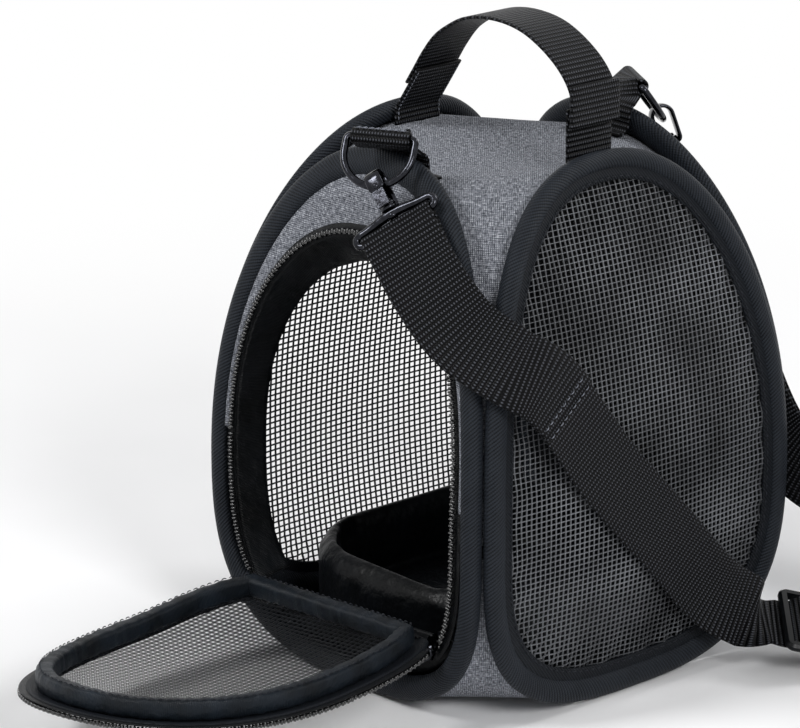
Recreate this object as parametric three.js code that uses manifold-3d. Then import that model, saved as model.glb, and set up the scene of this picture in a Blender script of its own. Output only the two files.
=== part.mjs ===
// Hamster carrier bag: four egg-shaped upright panels round a square plan, each edged by a padded roll,
// with heather cloth gussets between the rolls, two mesh windows, a zipped mesh door that folds down,
// a webbing handle and a clip-on shoulder strap. Millimetres, +Z up, the door faces -Y.
// The origin is the middle of the flat base, on the surface that the bag stands on.

import * as THREE from 'three';
import { mergeVertices } from 'three/addons/utils/BufferGeometryUtils.js';
import Module from 'manifold-3d';

const wasm = await Module();
wasm.setup();

// Bag body
const bagHeight = 226;
const sideReach = 85; // middle axis to the left and right panels, where the bag is widest
const frontReach = 87.5; // middle axis to the front and back panels, where the bag is widest
const widestHeight = 79.5;
const topLean = 28;
const bottomLean = 4.5;
const topRoundness = 2.28;
const bottomRoundness = 2.92;
const seamGap = 0.3; // between pieces that are sewn or laid against each other
const clothThickness = 1.6;
const meshThickness = 1;

// Padded edge rolls
const rollWidth = 12; // across the panel, at the sides
const rollDepth = 9; // through the panel
const frontRollTopWidth = 14;
const sideRollTopWidth = 9;
const rollBottomWidth = 13;
const rollSideGap = 0.6; // between the rolls of neighbouring panels
const gussetTuck = 55 * Math.PI / 180; // how far the top gusset sits towards the inner edge of its rolls

// Mesh windows
const windowBindingWidth = 5;
const windowBulge = 3;
const sillRecess = 1.7;

// Door
const archHalf = 67.8; // the parting line of the zip, from the bag's middle
const archTop = 189.5;
const archWidest = 95;
const archBottom = 20;
const archBottomRoundness = 3.6;
const hingeHeight = 33;
const hingeTilt = 4 * Math.PI / 180;
const hingeStandOff = 0.3; // the cloth hinge's line, outside the sill's face
const doorOpenAngle = 95 * Math.PI / 180;
const doorBandWidth = 9;
const doorRollWidth = 13;
const doorRollDepth = 9;
const doorMeshSag = 2;

// Zip
const coilWidth = 2.8;
const coilDepth = 2;
const coilRise = 2.3; // the coil's middle, outside the panel's middle surface
const coilGap = 0.3; // between the two halves at the parting line
const tapeThickness = 0.6;
const tapeWidth = 1.8;
const coilStart = -7; // the frame's coil ends below the hinge line
const coilEnd = 6; // and above it on the left
const sliderLength = 10;
const sliderWidth = 5.8;
const sliderPlate = 1;
const sliderClearance = 0.5;
const sliderRise = -2; // the slider's middle, from the hinge line
const sliderTravel = 1.5;
const doorCoilGap = 6.5; // from the slider's highest place to the door's coil
const bridgeHeight = 3;
const bridgeWire = 0.6;
const pullWire = 0.55;
const pullLoopWidth = 5.2;
const pullLoopLength = 25;
const pullTipRadius = 1.6;
const pullTipLength = 10;
const pullSlant = 24 * Math.PI / 180;

// Webbing
const strapWidth = 32;
const handleWidth = 25;
const webbingThickness = 1.4;
const layerGap = 0.4; // between two layers of webbing
const foldBackLength = 112;

// Handle
const handleTabInset = 6.6; // a foot tab, inboard of its side roll's middle
const handleTabTop = 243.5;
const handleEnd = 236.5;
const handleBend = 254.5; // the legs stand straight up to here
const handleTop = 273;
// The crown's places, as shares of the legs' distance from the middle and of the rise above their bend
const crownShares = [[-0.64, 0.32], [-0.26, 0.8], [0.12, 1], [0.5, 0.9], [0.86, 0.36]];

// Rings, hooks and their tabs
const ringWire = 1.5;
const ringHalf = 14.5;
const ringDrop = 21;
const ringCorner = 2;
const ringStandOff = 9; // the ring's bar, in front of the roll's middle
const ringBarHeight = 233.5;
const ringAcross = 6;
const ringTurn = 30 * Math.PI / 180;
const ringTilt = 35 * Math.PI / 180;
const tabTail = 12;
const tabSlope = 30 * Math.PI / 180;
const tabUnderlap = 7;
const tabBack = -0.85; // where the tab meets and leaves the roll, in quarter turns from its crest
const tabFront = 0.1;
const hookHold = 11.5; // from the swivel to the wire that the hook holds
const hookShift = 3; // the hook's place on its ring, off the middle
const hookBandWidth = 7;
const hookBand = 1.8;
const hookHalf = 3.6; // the hook's opening
const hookCollarRadius = 3.4;
const hookCollarLength = 3.6;
const hookSlack = 5.2; // from the held wire's middle to the crest
const hookNose = 8; // the hook's free end, below its crest
const pinRadius = 1.4;
const pinHeadRadius = 2.4;
const pinHeadLength = 1.2;
const swivelClearance = 0.3;
const eyeDrop = 3; // from the collar to the near bar of the strap loop
const loopWire = 1.5;
const loopHalf = 18.2;
const loopDepth = 4.6;
const gateThickness = 1.2;

// Shoulder strap's route, as places that the middle of the webbing passes and the direction of its width
const frontHookWay = [0.72, -0.12, -0.68];
const frontLoopWidth = [0.55, 0.59, 0.59];
const backHookWay = [0.3, 0.17, -0.94];
const backLoopWidth = [0.82, -0.53, 0.2];
const frontRoute = [
  [[50, -86.5, 186], [0.52, 0.6, 0.6]],
  [[70, -84, 168.5], [0.4, 0.68, 0.62]],
  [[85.5, -74, 157], [0.15, 0.74, 0.65]],
  [[92.4, -60, 147], [0, 0.75, 0.66]],
  [[92.4, -23.6, 102.5], [0, 0.75, 0.66]],
  [[92.4, 12, 64], [0, 0.75, 0.66]],
  [[92.6, 40, 34], [0, 0.75, 0.66]],
  [[97, 54, 24], [-0.1, 0.77, 0.62]],
];
const adjusterPlace = [[112, 76, 17], [-0.58, 0.78, 0.2], [0.58, 0.78, -0.24]];
const rearRoute = [
  [[134, 104, 7.5], [-0.4, 0.9, 0.05]],
  [[158, 116, 4], [-0.12, 1, 0]],
  [[190, 119, 4], [0, 1, 0]],
  [[220, 118, 15], [0, 1, 0]],
  [[231, 116, 38], [0, 1, 0]],
  [[214, 113, 62], [0, 1, 0]],
  [[176, 109, 73], [0, 0.95, 0.3]],
  [[130, 104, 73], [0, 0.6, 0.8]],
  [[96, 101, 71], [0.05, 0.35, 0.93]],
  [[70, 99, 82], [0.35, 0.2, 0.9]],
  [[50, 96, 116], [0.75, 0.1, 0.6]],
  [[37, 91, 155], [0.93, 0.05, 0.3]],
];

// Adjuster on the strap
const adjusterLength = 26;
const adjusterWidth = 41;
const adjusterThickness = 3.6;
const adjusterBar = 3.4;
const adjusterRim = 3.4;
const adjusterCorner = 4;
const adjusterEdge = 1.1; // rounding of the frame's rim

// Tray pad and base board
const boardHalf = 62;
const boardCorner = 56;
const boardThickness = 2;
const padHalfWidth = 66;
const padHalfDepth = 70;
const padCorner = 46;
const padTop = 47;
const padWall = 8;
const padFloor = 8;
const padRounding = 5;

// Fineness
const rimSteps = 44;
const rimSides = 8;
const sheetSteps = 40;
const sheetRows = 2;
const coilSteps = 46;
const coilSides = 5;
const gussetSteps = 10;
const gussetColumns = 3;
const wireSides = 6;
const lookupSteps = 720;
const handleSteps = 20;
const foldSteps = 5;
const foldSettle = 14;
const frontSteps = 34;
const rearSteps = 56;

// Materials
function finish(color, roughness, metalness) {
  return new THREE.MeshStandardMaterial({ color, roughness, metalness });
}

const heatherCloth = finish(0x5c5f66, 0.95, 0);
const twillCloth = finish(0x23252b, 0.75, 0);
const liningCloth = finish(0x15161a, 0.6, 0);
const meshNet = finish(0x17181b, 0.6, 0);
const webbing = finish(0x141519, 0.7, 0);
const zipNylon = finish(0x0f1013, 0.4, 0);
const gunmetal = finish(0x4a4c50, 0.25, 1);
const blackPlastic = finish(0x131417, 0.35, 0);
const boardStock = finish(0x2a2b2e, 0.8, 0);

const point = (x, y, z) => new THREE.Vector3(x, y, z);
const upward = point(0, 0, 1);
const mix = THREE.MathUtils.lerp;
const clamp = THREE.MathUtils.clamp;

// Triangles of a body

// Turns a closed indexed geometry's faces outwards.
function faceOutwards(geometry) {
  const places = geometry.attributes.position;
  const index = geometry.index.array;
  const corners = [point(0, 0, 0), point(0, 0, 0), point(0, 0, 0)];
  let volume = 0;
  for (let i = 0; i < index.length; i += 3) {
    corners.forEach((corner, k) => corner.fromBufferAttribute(places, index[i + k]));
    volume += corners[0].dot(corners[1].clone().cross(corners[2]));
  }
  if (volume < 0) {
    for (let i = 0; i < index.length; i += 3) {
      [index[i], index[i + 1]] = [index[i + 1], index[i]];
    }
  }
  return geometry;
}

function indexedGeometry(points, index) {
  const geometry = new THREE.BufferGeometry();
  geometry.setAttribute('position', new THREE.Float32BufferAttribute(points.flatMap((p) => p.toArray()), 3));
  geometry.setIndex(index);
  return geometry;
}

// Joins rings of equal count into one closed body. A loop joins its last ring to its first,
// and anything else is closed by a fan at each end.
function bodyFromRings(rings, isLoop) {
  const across = rings[0].length;
  const points = rings.flat();
  const index = [];
  const spans = isLoop ? rings.length : rings.length - 1;
  for (let i = 0; i < spans; i++) {
    const here = i * across;
    const next = ((i + 1) % rings.length) * across;
    for (let j = 0; j < across; j++) {
      const k = (j + 1) % across;
      index.push(here + j, next + j, here + k, here + k, next + j, next + k);
    }
  }
  if (!isLoop) {
    const ends = [[0, false], [(rings.length - 1) * across, true]];
    for (const [start, isLast] of ends) {
      const middle = point(0, 0, 0);
      for (let j = 0; j < across; j++) middle.add(points[start + j]);
      points.push(middle.divideScalar(across));
      for (let j = 0; j < across; j++) {
        const k = (j + 1) % across;
        const edge = isLast ? [start + k, start + j] : [start + j, start + k];
        index.push(...edge, points.length - 1);
      }
    }
  }
  return faceOutwards(indexedGeometry(points, index));
}

// One open surface of the given grids. Each grid is a list of rows of points, and shared edges are merged.
function surfaceFromGrids(grids) {
  const places = [];
  for (const rows of grids) {
    for (let i = 0; i + 1 < rows.length; i++) {
      for (let j = 0; j + 1 < rows[i].length; j++) {
        const [a, b, c, d] = [rows[i][j], rows[i][j + 1], rows[i + 1][j + 1], rows[i + 1][j]];
        for (const corner of [a, b, c, a, c, d]) places.push(...corner.toArray());
      }
    }
  }
  const loose = new THREE.BufferGeometry();
  loose.setAttribute('position', new THREE.Float32BufferAttribute(places, 3));
  const merged = mergeVertices(loose, seamGap / 30);
  const index = merged.index.array;
  const kept = [];
  for (let i = 0; i < index.length; i += 3) {
    const [a, b, c] = [index[i], index[i + 1], index[i + 2]];
    if (a !== b && b !== c && c !== a) kept.push(a, b, c);
  }
  merged.setIndex(kept);
  return merged;
}

// Gives an open surface a thickness, on the side that its faces turn away from.
function thicken(surface, thickness) {
  surface.computeVertexNormals();
  const count = surface.attributes.position.count;
  const index = [...surface.index.array];
  const points = [];
  for (let i = 0; i < count; i++) points.push(point(0, 0, 0).fromBufferAttribute(surface.attributes.position, i));
  for (let i = 0; i < count; i++) {
    const normal = point(0, 0, 0).fromBufferAttribute(surface.attributes.normal, i);
    points.push(points[i].clone().addScaledVector(normal, -thickness));
  }
  const edges = new Map();
  for (let i = 0; i < index.length; i += 3) {
    for (let k = 0; k < 3; k++) {
      const from = index[i + k];
      const to = index[i + (k + 1) % 3];
      if (edges.has(`${to}_${from}`)) edges.delete(`${to}_${from}`);
      else edges.set(`${from}_${to}`, [from, to]);
    }
  }
  const closed = [...index];
  for (let i = 0; i < index.length; i += 3) {
    closed.push(index[i] + count, index[i + 2] + count, index[i + 1] + count);
  }
  for (const [from, to] of edges.values()) {
    closed.push(to, from, from + count, to, from + count, to + count);
  }
  return faceOutwards(indexedGeometry(points, closed));
}

// Booleans
function solidOf(geometry) {
  const plain = geometry.clone();
  plain.deleteAttribute('normal');
  plain.deleteAttribute('uv');
  const merged = mergeVertices(plain, seamGap / 3000);
  return new wasm.Manifold(new wasm.Mesh({
    numProp: 3,
    vertProperties: new Float32Array(merged.attributes.position.array),
    triVerts: new Uint32Array(merged.index.array),
  }));
}

function geometryOf(solid) {
  const mesh = solid.getMesh();
  const geometry = new THREE.BufferGeometry();
  geometry.setAttribute('position', new THREE.BufferAttribute(new Float32Array(mesh.vertProperties), 3));
  geometry.setIndex(new THREE.BufferAttribute(new Uint32Array(mesh.triVerts), 1));
  return geometry;
}

function joined(...geometries) {
  return geometryOf(geometries.map(solidOf).reduce((sum, next) => sum.add(next)));
}

function cutBy(...geometries) {
  return geometryOf(geometries.map(solidOf).reduce((rest, next) => rest.subtract(next)));
}

// The panels' shared shape, drawn for the front panel and turned about the bag's axis for the others

const rollSetback = Math.hypot(rollWidth / 2, rollDepth / 2) + rollSideGap / Math.SQRT2;
const frontPanel = {
  reach: frontReach,
  half: sideReach - rollSetback + rollWidth / 2,
  rollTopWidth: frontRollTopWidth,
  turn: 0,
};
const sidePanel = {
  reach: sideReach,
  half: frontReach - rollSetback + rollWidth / 2,
  rollTopWidth: sideRollTopWidth,
};
const panels = {
  front: frontPanel,
  right: { ...sidePanel, turn: Math.PI / 2 },
  back: { ...frontPanel, turn: Math.PI },
  left: { ...sidePanel, turn: -Math.PI / 2 },
};

function panelDistance(panel, z) {
  const away = z - widestHeight;
  if (away > 0) return panel.reach - topLean * (away / (bagHeight - widestHeight)) ** 2;
  return panel.reach - bottomLean * (away / widestHeight) ** 2;
}

// The panel's outward direction at a height.
function panelNormal(panel, z) {
  const step = bagHeight / lookupSteps;
  const slope = (panelDistance(panel, z + step) - panelDistance(panel, z - step)) / (2 * step);
  return point(0, -1, -slope).normalize();
}

function onPanel(panel, x, z, outward) {
  return point(x, -panelDistance(panel, z), z).addScaledVector(panelNormal(panel, z), outward);
}

// A superellipse with its own roundness above and below its widest height.
function eggPoint(shape, angle, inset) {
  const rise = Math.sin(angle);
  const run = Math.cos(angle);
  const roundness = rise >= 0 ? shape.topRoundness : shape.bottomRoundness;
  const height = (rise >= 0 ? shape.top - shape.widest : shape.widest - shape.bottom) - inset;
  return {
    x: Math.sign(run) * Math.abs(run) ** (2 / roundness) * (shape.half - inset),
    z: shape.widest + Math.sign(rise) * Math.abs(rise) ** (2 / roundness) * height,
  };
}

const panelEgg = (panel) => ({
  half: panel.half,
  top: bagHeight,
  bottom: 0,
  widest: widestHeight,
  topRoundness,
  bottomRoundness,
});

// Angles that space points evenly along an outline, from one angle to another.
function evenAngles(outline, from, to, count) {
  const lengths = [0];
  let previous = outline(from);
  for (let i = 1; i <= lookupSteps; i++) {
    const here = outline(mix(from, to, i / lookupSteps));
    lengths.push(lengths[i - 1] + Math.hypot(here.x - previous.x, here.z - previous.z));
    previous = here;
  }
  const angles = [];
  let i = 0;
  for (let k = 0; k < count; k++) {
    const wanted = lengths[lookupSteps] * k / (count - 1);
    while (i < lookupSteps - 1 && lengths[i + 1] < wanted) i++;
    const share = (wanted - lengths[i]) / (lengths[i + 1] - lengths[i]);
    angles.push(mix(from, to, (i + share) / lookupSteps));
  }
  return angles;
}

const quarter = Math.PI / 2;
const fullTurn = 2 * Math.PI;

function rollHalfWidth(panel, angle) {
  const upper = Math.max(Math.sin(angle), 0) ** 2;
  const lower = Math.max(-Math.sin(angle), 0) ** 2;
  const extra = upper * (panel.rollTopWidth - rollWidth) + lower * (rollBottomWidth - rollWidth);
  return (rollWidth + extra) / 2;
}

// The roll's middle at an angle, with its outward direction and the direction away from the panel's middle.
function rollFrame(panel, angle) {
  const centreAt = (a) => {
    const flat = eggPoint(panelEgg(panel), a, rollHalfWidth(panel, a));
    return onPanel(panel, flat.x, flat.z, 0);
  };
  const centre = centreAt(angle);
  const step = fullTurn / lookupSteps;
  const along = centreAt(angle + step).sub(centreAt(angle - step)).normalize();
  const outward = panelNormal(panel, centre.z);
  const away = along.clone().cross(outward).normalize();
  return { centre, outward, away };
}

function rollBody(panel) {
  const outline = (a) => eggPoint(panelEgg(panel), a, rollHalfWidth(panel, a));
  const angles = evenAngles(outline, -quarter, -quarter + fullTurn, rimSteps + 1).slice(0, -1);
  const rings = angles.map((angle) => {
    const { centre, outward, away } = rollFrame(panel, angle);
    const halfWidth = rollHalfWidth(panel, angle);
    return Array.from({ length: rimSides }, (_, k) => {
      const turn = fullTurn * k / rimSides;
      return centre.clone()
        .addScaledVector(away, Math.cos(turn) * halfWidth)
        .addScaledVector(outward, Math.sin(turn) * rollDepth / 2);
    });
  });
  return bodyFromRings(rings, true);
}

// Gussets between neighbouring rolls

const turned = (place, panel) => place.applyAxisAngle(upward, panel.turn);

// Where the gusset meets a roll: behind it, towards its inner edge at the top or its lower edge at the bottom.
// Height over the floor, at the panel's foot, of the line where the gusset meets the roll's back.
function footRise(panel, back) {
  const { centre, outward } = rollFrame(panel, -quarter);
  return centre.z - outward.z * back;
}

function gussetEdge(panel, angle) {
  const { centre, outward, away } = rollFrame(panel, angle);
  const halfWidth = rollHalfWidth(panel, angle) + seamGap;
  const back = rollDepth / 2 + seamGap;
  const lift = Math.sin(angle);
  if (lift >= 0) {
    const tuck = gussetTuck * lift ** 2;
    centre.addScaledVector(outward, -back * Math.cos(tuck)).addScaledVector(away, -halfWidth * Math.sin(tuck));
  } else {
    centre.addScaledVector(outward, -back);
    centre.z = Math.max(centre.z - footRise(panel, back) * lift ** 2, 0);
  }
  return turned(centre, panel);
}

function gussetBody(isTop, middle) {
  const sign = isTop ? 1 : -1;
  const corners = [['front', 'right'], ['right', 'back'], ['back', 'left'], ['left', 'front']];
  const grids = corners.map(([first, second]) => {
    const outline = (a) => eggPoint(panelEgg(panels[first]), a, rollWidth / 2);
    const angles = evenAngles(outline, sign * gussetStartAngle, sign * quarter, gussetSteps + 1);
    const rows = angles.map((angle) => {
      const from = gussetEdge(panels[first], angle);
      const to = gussetEdge(panels[second], Math.PI - angle);
      return Array.from({ length: gussetColumns + 1 }, (_, j) => from.clone().lerp(to, j / gussetColumns));
    });
    const rim = rows[rows.length - 1];
    for (let k = 1; k <= gussetColumns; k++) rows.push(rim.map((p) => p.clone().lerp(middle, k / gussetColumns)));
    return isTop ? rows : rows.map((row) => [...row].reverse());
  });
  return thicken(surfaceFromGrids(grids), clothThickness);
}

const gussetStartAngle = 0.6 * Math.PI / 180;
const topMiddle = () => {
  const edge = gussetEdge(panels.front, quarter);
  return point(0, 0, edge.z - clothThickness);
};

// Cloth and mesh sheets inside a roll

// A sheet from one outline to another, or to its middle where the inner outline is left out.
function sheetBody(place, outer, inner, rows, thickness) {
  const angles = evenAngles(outer, -quarter, -quarter + fullTurn, sheetSteps + 1);
  const middle = { x: 0, z: outer.middle };
  const grid = [];
  for (let r = 0; r <= rows; r++) {
    const row = angles.map((angle, k) => {
      const from = outer(angle);
      const to = inner ? inner(angle) : middle;
      const x = mix(from.x, to.x, r / rows);
      const z = mix(from.z, to.z, r / rows);
      return place(x, z, r / rows, k);
    });
    row[sheetSteps] = row[0].clone();
    grid.push(row);
  }
  return thicken(surfaceFromGrids([grid]), thickness);
}

// Inside edge of a panel's roll, moved in by an inset of its own.
function insideRoll(panel, inset) {
  const outline = (angle) => eggPoint(panelEgg(panel), angle, 2 * rollHalfWidth(panel, angle) + inset);
  outline.middle = widestHeight;
  return outline;
}

function plainSheet(panel, inset, thickness, bulge) {
  const place = (x, z, share) => onPanel(panel, x, z, thickness / 2 + bulge * Math.sin(quarter * share));
  return sheetBody(place, insideRoll(panel, inset), null, sheetRows, thickness);
}

function bindingBody(panel) {
  const place = (x, z) => onPanel(panel, x, z, clothThickness / 2);
  const inner = insideRoll(panel, seamGap + windowBindingWidth);
  return sheetBody(place, insideRoll(panel, seamGap), inner, 1, clothThickness);
}

// Front panel, sill and the door's arch

const front = panels.front;
const archEgg = {
  half: archHalf,
  top: archTop,
  bottom: archBottom,
  widest: archWidest,
  topRoundness,
  bottomRoundness: archBottomRoundness,
};
const hingeLine = (x) => hingeHeight + x * Math.tan(hingeTilt);

// The arch, flat along the hinge line at the bottom. A positive inset lies on the door's side of the parting line.
function archOutline(inset) {
  const outline = (angle) => {
    const flat = eggPoint(archEgg, angle, inset);
    return { x: flat.x, z: Math.max(flat.z, hingeLine(flat.x) + Math.max(inset, seamGap)) };
  };
  outline.middle = archWidest;
  return outline;
}

// Angle at which the arch's own curve is a given height above the hinge line, on the right.
function archAngleAbove(height, inset) {
  let low = -quarter;
  let high = 0;
  for (let i = 0; i < 40; i++) {
    const middle = (low + high) / 2;
    const place = eggPoint(archEgg, middle, inset);
    if (place.z - hingeLine(place.x) < height) low = middle;
    else high = middle;
  }
  return high;
}

function archLeftAngleAbove(height, inset) {
  let low = Math.PI;
  let high = Math.PI + quarter;
  for (let i = 0; i < 40; i++) {
    const middle = (low + high) / 2;
    const place = eggPoint(archEgg, middle, inset);
    if (place.z - hingeLine(place.x) < height) high = middle;
    else low = middle;
  }
  return low;
}

// A section swept along the arch, from above the hinge on the right to above it on the left.
function alongArch(inset, rise, section, startHeight) {
  const outline = (angle) => eggPoint(archEgg, angle, inset);
  const first = archAngleAbove(startHeight, inset);
  const angles = evenAngles(outline, first, archLeftAngleAbove(coilEnd, inset), coilSteps + 1);
  const centreAt = (angle) => {
    const flat = outline(angle);
    return onPanel(front, flat.x, flat.z, rise);
  };
  const step = fullTurn / lookupSteps;
  const rings = angles.map((angle) => {
    const centre = centreAt(angle);
    const along = centreAt(angle + step).sub(centreAt(angle - step)).normalize();
    const outward = panelNormal(front, centre.z);
    const away = along.cross(outward).normalize();
    return section.map(([a, b]) => centre.clone().addScaledVector(away, a).addScaledVector(outward, b));
  });
  return bodyFromRings(rings, false);
}

const coilSection = Array.from({ length: coilSides }, (_, k) => {
  const turn = fullTurn * k / coilSides;
  return [Math.cos(turn) * coilWidth / 2, Math.sin(turn) * coilDepth / 2];
});
const coilInset = coilWidth / 2 + coilGap / 2;
const tapeRise = coilRise - coilDepth / 2 - seamGap - tapeThickness / 2;
const rectangle = [[-1, -1], [1, -1], [1, 1], [-1, 1]];
const tapeSection = rectangle.map(([a, b]) => [a * tapeWidth / 2, b * tapeThickness / 2]);

// How far from the arch's middle the inside edge of the front roll lies, in a given direction.
function rollReach(direction, inset) {
  const shape = panelEgg(front);
  const roll = rollHalfWidth(front, direction) * 2 + inset;
  let near = 0;
  let far = bagHeight;
  for (let i = 0; i < 40; i++) {
    const reach = (near + far) / 2;
    const x = reach * Math.cos(direction);
    const z = archWidest + reach * Math.sin(direction) - widestHeight;
    const run = Math.abs(x) / (shape.half - roll);
    const rise = Math.abs(z) / (shape.top - widestHeight - roll);
    if (run ** topRoundness + rise ** topRoundness < 1) near = reach;
    else far = reach;
  }
  return near;
}

function archReach(direction, inset) {
  const run = Math.abs(Math.cos(direction)) / (archHalf - inset);
  const rise = Math.abs(Math.sin(direction)) / (archTop - archWidest - inset);
  return (run ** topRoundness + rise ** topRoundness) ** (-1 / topRoundness);
}

// Heather crescent between the top of the zip and the front roll.
function crescentBody() {
  const inset = -(coilWidth + coilGap / 2 + seamGap);
  const least = clothThickness;
  let start = 0;
  while (rollReach(start, seamGap) - archReach(start, inset) < least) start += quarter / lookupSteps;
  const rows = [];
  const count = sheetSteps / 2;
  for (let r = 0; r <= 2; r++) {
    rows.push(Array.from({ length: count + 1 }, (_, k) => {
      const direction = mix(start, Math.PI - start, k / count);
      const reach = mix(rollReach(direction, seamGap), archReach(direction, inset), r / 2);
      const z = archWidest + reach * Math.sin(direction);
      return onPanel(front, reach * Math.cos(direction), z, clothThickness / 2);
    }));
  }
  return thicken(surfaceFromGrids([rows.map((row) => [...row].reverse())]), clothThickness);
}

// Cloth sill between the door's hinge and the bottom of the front roll.
function sillBody() {
  const outline = insideRoll(front, seamGap);
  const top = (x) => hingeLine(x) - seamGap;
  const count = sheetSteps / 2;
  const reachOf = (side) => {
    let low = 0;
    let high = quarter;
    for (let i = 0; i < 40; i++) {
      const middle = (low + high) / 2;
      const place = outline(-quarter + side * middle);
      if (top(place.x) - place.z > clothThickness) low = middle;
      else high = middle;
    }
    return low;
  };
  const angles = evenAngles(outline, -quarter - reachOf(-1), -quarter + reachOf(1), count + 1);
  const rows = [0, 1, 2].map((r) => angles.map((angle) => {
    const place = outline(angle);
    return onPanel(front, place.x, mix(place.z, top(place.x), r / 2), -sillRecess);
  }));
  return thicken(surfaceFromGrids([rows]), clothThickness);
}

// Door, drawn closed and laid open about its hinge

const doorEdgeInset = coilGap / 2 + coilWidth + seamGap;
const doorMeshInset = doorEdgeInset + doorBandWidth;
const doorRollRise = -(clothThickness / 2 + seamGap + doorRollDepth / 2);
const doorRollInset = doorEdgeInset + doorRollWidth / 2;

function doorBandBody() {
  const place = (x, z) => onPanel(front, x, z, clothThickness / 2);
  return sheetBody(place, archOutline(doorEdgeInset), archOutline(doorMeshInset), 1, clothThickness);
}

function doorMeshBody() {
  const place = (x, z, share) => onPanel(front, x, z, meshThickness / 2 + doorMeshSag * Math.sin(quarter * share));
  return sheetBody(place, archOutline(doorMeshInset + seamGap), null, sheetRows, meshThickness);
}

function doorRollBody() {
  const outline = archOutline(doorRollInset);
  const angles = evenAngles(outline, -quarter, -quarter + fullTurn, rimSteps + 1).slice(0, -1);
  const centres = angles.map((angle) => {
    const flat = outline(angle);
    return onPanel(front, flat.x, flat.z, doorRollRise);
  });
  const rings = centres.map((centre, i) => {
    const next = centres[(i + 1) % centres.length];
    const before = centres[(i + centres.length - 1) % centres.length];
    const outward = panelNormal(front, centre.z);
    const away = next.clone().sub(before).normalize().cross(outward).normalize();
    return Array.from({ length: rimSides }, (_, k) => {
      const turn = fullTurn * k / rimSides;
      return centre.clone()
        .addScaledVector(away, Math.cos(turn) * doorRollWidth / 2)
        .addScaledVector(outward, Math.sin(turn) * doorRollDepth / 2);
    });
  });
  return bodyFromRings(rings, true);
}

// Ribbons and wires

// Places along a route of points and width directions, with the webbing's face direction at each.
function routePlaces(route, steps) {
  const path = new THREE.CatmullRomCurve3(route.map((p) => p.at), false, 'centripetal');
  const directions = route.map((p) => p.across.clone().normalize());
  const widths = new THREE.CatmullRomCurve3(directions, false, 'centripetal');
  return Array.from({ length: steps + 1 }, (_, i) => {
    const at = path.getPoint(i / steps);
    const along = path.getTangent(i / steps);
    const across = widths.getPoint(i / steps);
    across.addScaledVector(along, -across.dot(along)).normalize();
    return { at, across, face: along.clone().cross(across).normalize() };
  });
}

// A flat webbing through a list of places, each with its width direction.
function ribbonBody(places, width, thickness) {
  const last = places.length - 1;
  const rings = places.map(({ at, across }, i) => {
    const after = places[Math.min(i + 1, last)].at.clone().sub(at).normalize();
    const before = at.clone().sub(places[Math.max(i - 1, 0)].at).normalize();
    const along = after.clone().add(before).normalize();
    const side = across.clone().addScaledVector(along, -across.dot(along)).normalize();
    const face = along.clone().cross(side).normalize();
    const bend = i > 0 && i < last ? after.angleTo(along) : 0;
    const widen = 1 / Math.max(Math.cos(bend), 0.5);
    return rectangle.map(([a, b]) => at.clone()
      .addScaledVector(side, a * width / 2)
      .addScaledVector(face, b * thickness / 2 * widen));
  });
  return bodyFromRings(rings, false);
}

// A round wire along planar points, in the plane square to the given direction.
function wireBody(centres, square, radius, isLoop) {
  const count = centres.length;
  const rings = centres.map((centre, i) => {
    const next = centres[isLoop ? (i + 1) % count : Math.min(i + 1, count - 1)];
    const before = centres[isLoop ? (i + count - 1) % count : Math.max(i - 1, 0)];
    const side = next.clone().sub(before).normalize().cross(square).normalize();
    return Array.from({ length: wireSides }, (_, k) => {
      const turn = fullTurn * k / wireSides;
      return centre.clone()
        .addScaledVector(side, Math.cos(turn) * radius)
        .addScaledVector(square, Math.sin(turn) * radius);
    });
  });
  return bodyFromRings(rings, isLoop);
}

function lathe(profile, segments) {
  return new THREE.LatheGeometry(profile.map(([r, y]) => new THREE.Vector2(r, y)), segments);
}

const smooth = (value) => clamp(value, 0, 1) ** 2 * (3 - 2 * clamp(value, 0, 1));

// Two layers of webbing along a route, turned round the bar that the route starts at. The outer layer may be
// cut short, at a given distance from the bar, and both may part again at the route's end.
function foldedPlaces(places, bar, outerLength, endLift) {
  const wrap = loopWire + seamGap + webbingThickness / 2;
  const layer = (webbingThickness + layerGap) / 2;
  const distances = [0];
  for (let i = 1; i < places.length; i++) {
    distances.push(distances[i - 1] + places[i].at.distanceTo(places[i - 1].at));
  }
  const length = distances[places.length - 1];
  const layers = { outer: [], inner: [] };
  places.forEach((place, i) => {
    const parted = mix(wrap, layer, smooth((distances[i] - wrap) / foldSettle));
    const near = smooth(1 - (length - distances[i]) / foldSettle);
    const outerLift = endLift ? mix(parted, endLift, near) : parted;
    const innerLift = endLift ? outerLift : mix(parted, 0, near);
    const shifted = (lift) => ({ at: place.at.clone().addScaledVector(place.face, lift), across: place.across });
    if (distances[i] <= outerLength) layers.outer.push(shifted(outerLift));
    layers.inner.push(shifted(-innerLift));
  });
  const turnedRound = Array.from({ length: foldSteps - 1 }, (_, k) => {
    const angle = Math.PI * (k + 1) / foldSteps;
    return {
      at: bar.at.clone()
        .addScaledVector(bar.face, wrap * Math.cos(angle))
        .addScaledVector(bar.back, wrap * Math.sin(angle)),
      across: bar.across,
    };
  });
  return [...layers.outer.reverse(), ...turnedRound, ...layers.inner];
}

// Zip slider and its pull

const edgeInset = coilGap / 2 + coilWidth;

function sliderFrame() {
  const angleAt = (height) => archAngleAbove(height, 0);
  const placeAt = (height) => {
    const flat = eggPoint(archEgg, angleAt(height), 0);
    return onPanel(front, flat.x, flat.z, coilRise);
  };
  const origin = placeAt(sliderRise);
  const along = placeAt(sliderRise + sliderLength).sub(origin).normalize();
  const outward = panelNormal(front, origin.z);
  const away = along.clone().cross(outward).normalize();
  outward.copy(away.clone().cross(along));
  return { origin, inward: away.negate(), outward, along };
}

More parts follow.
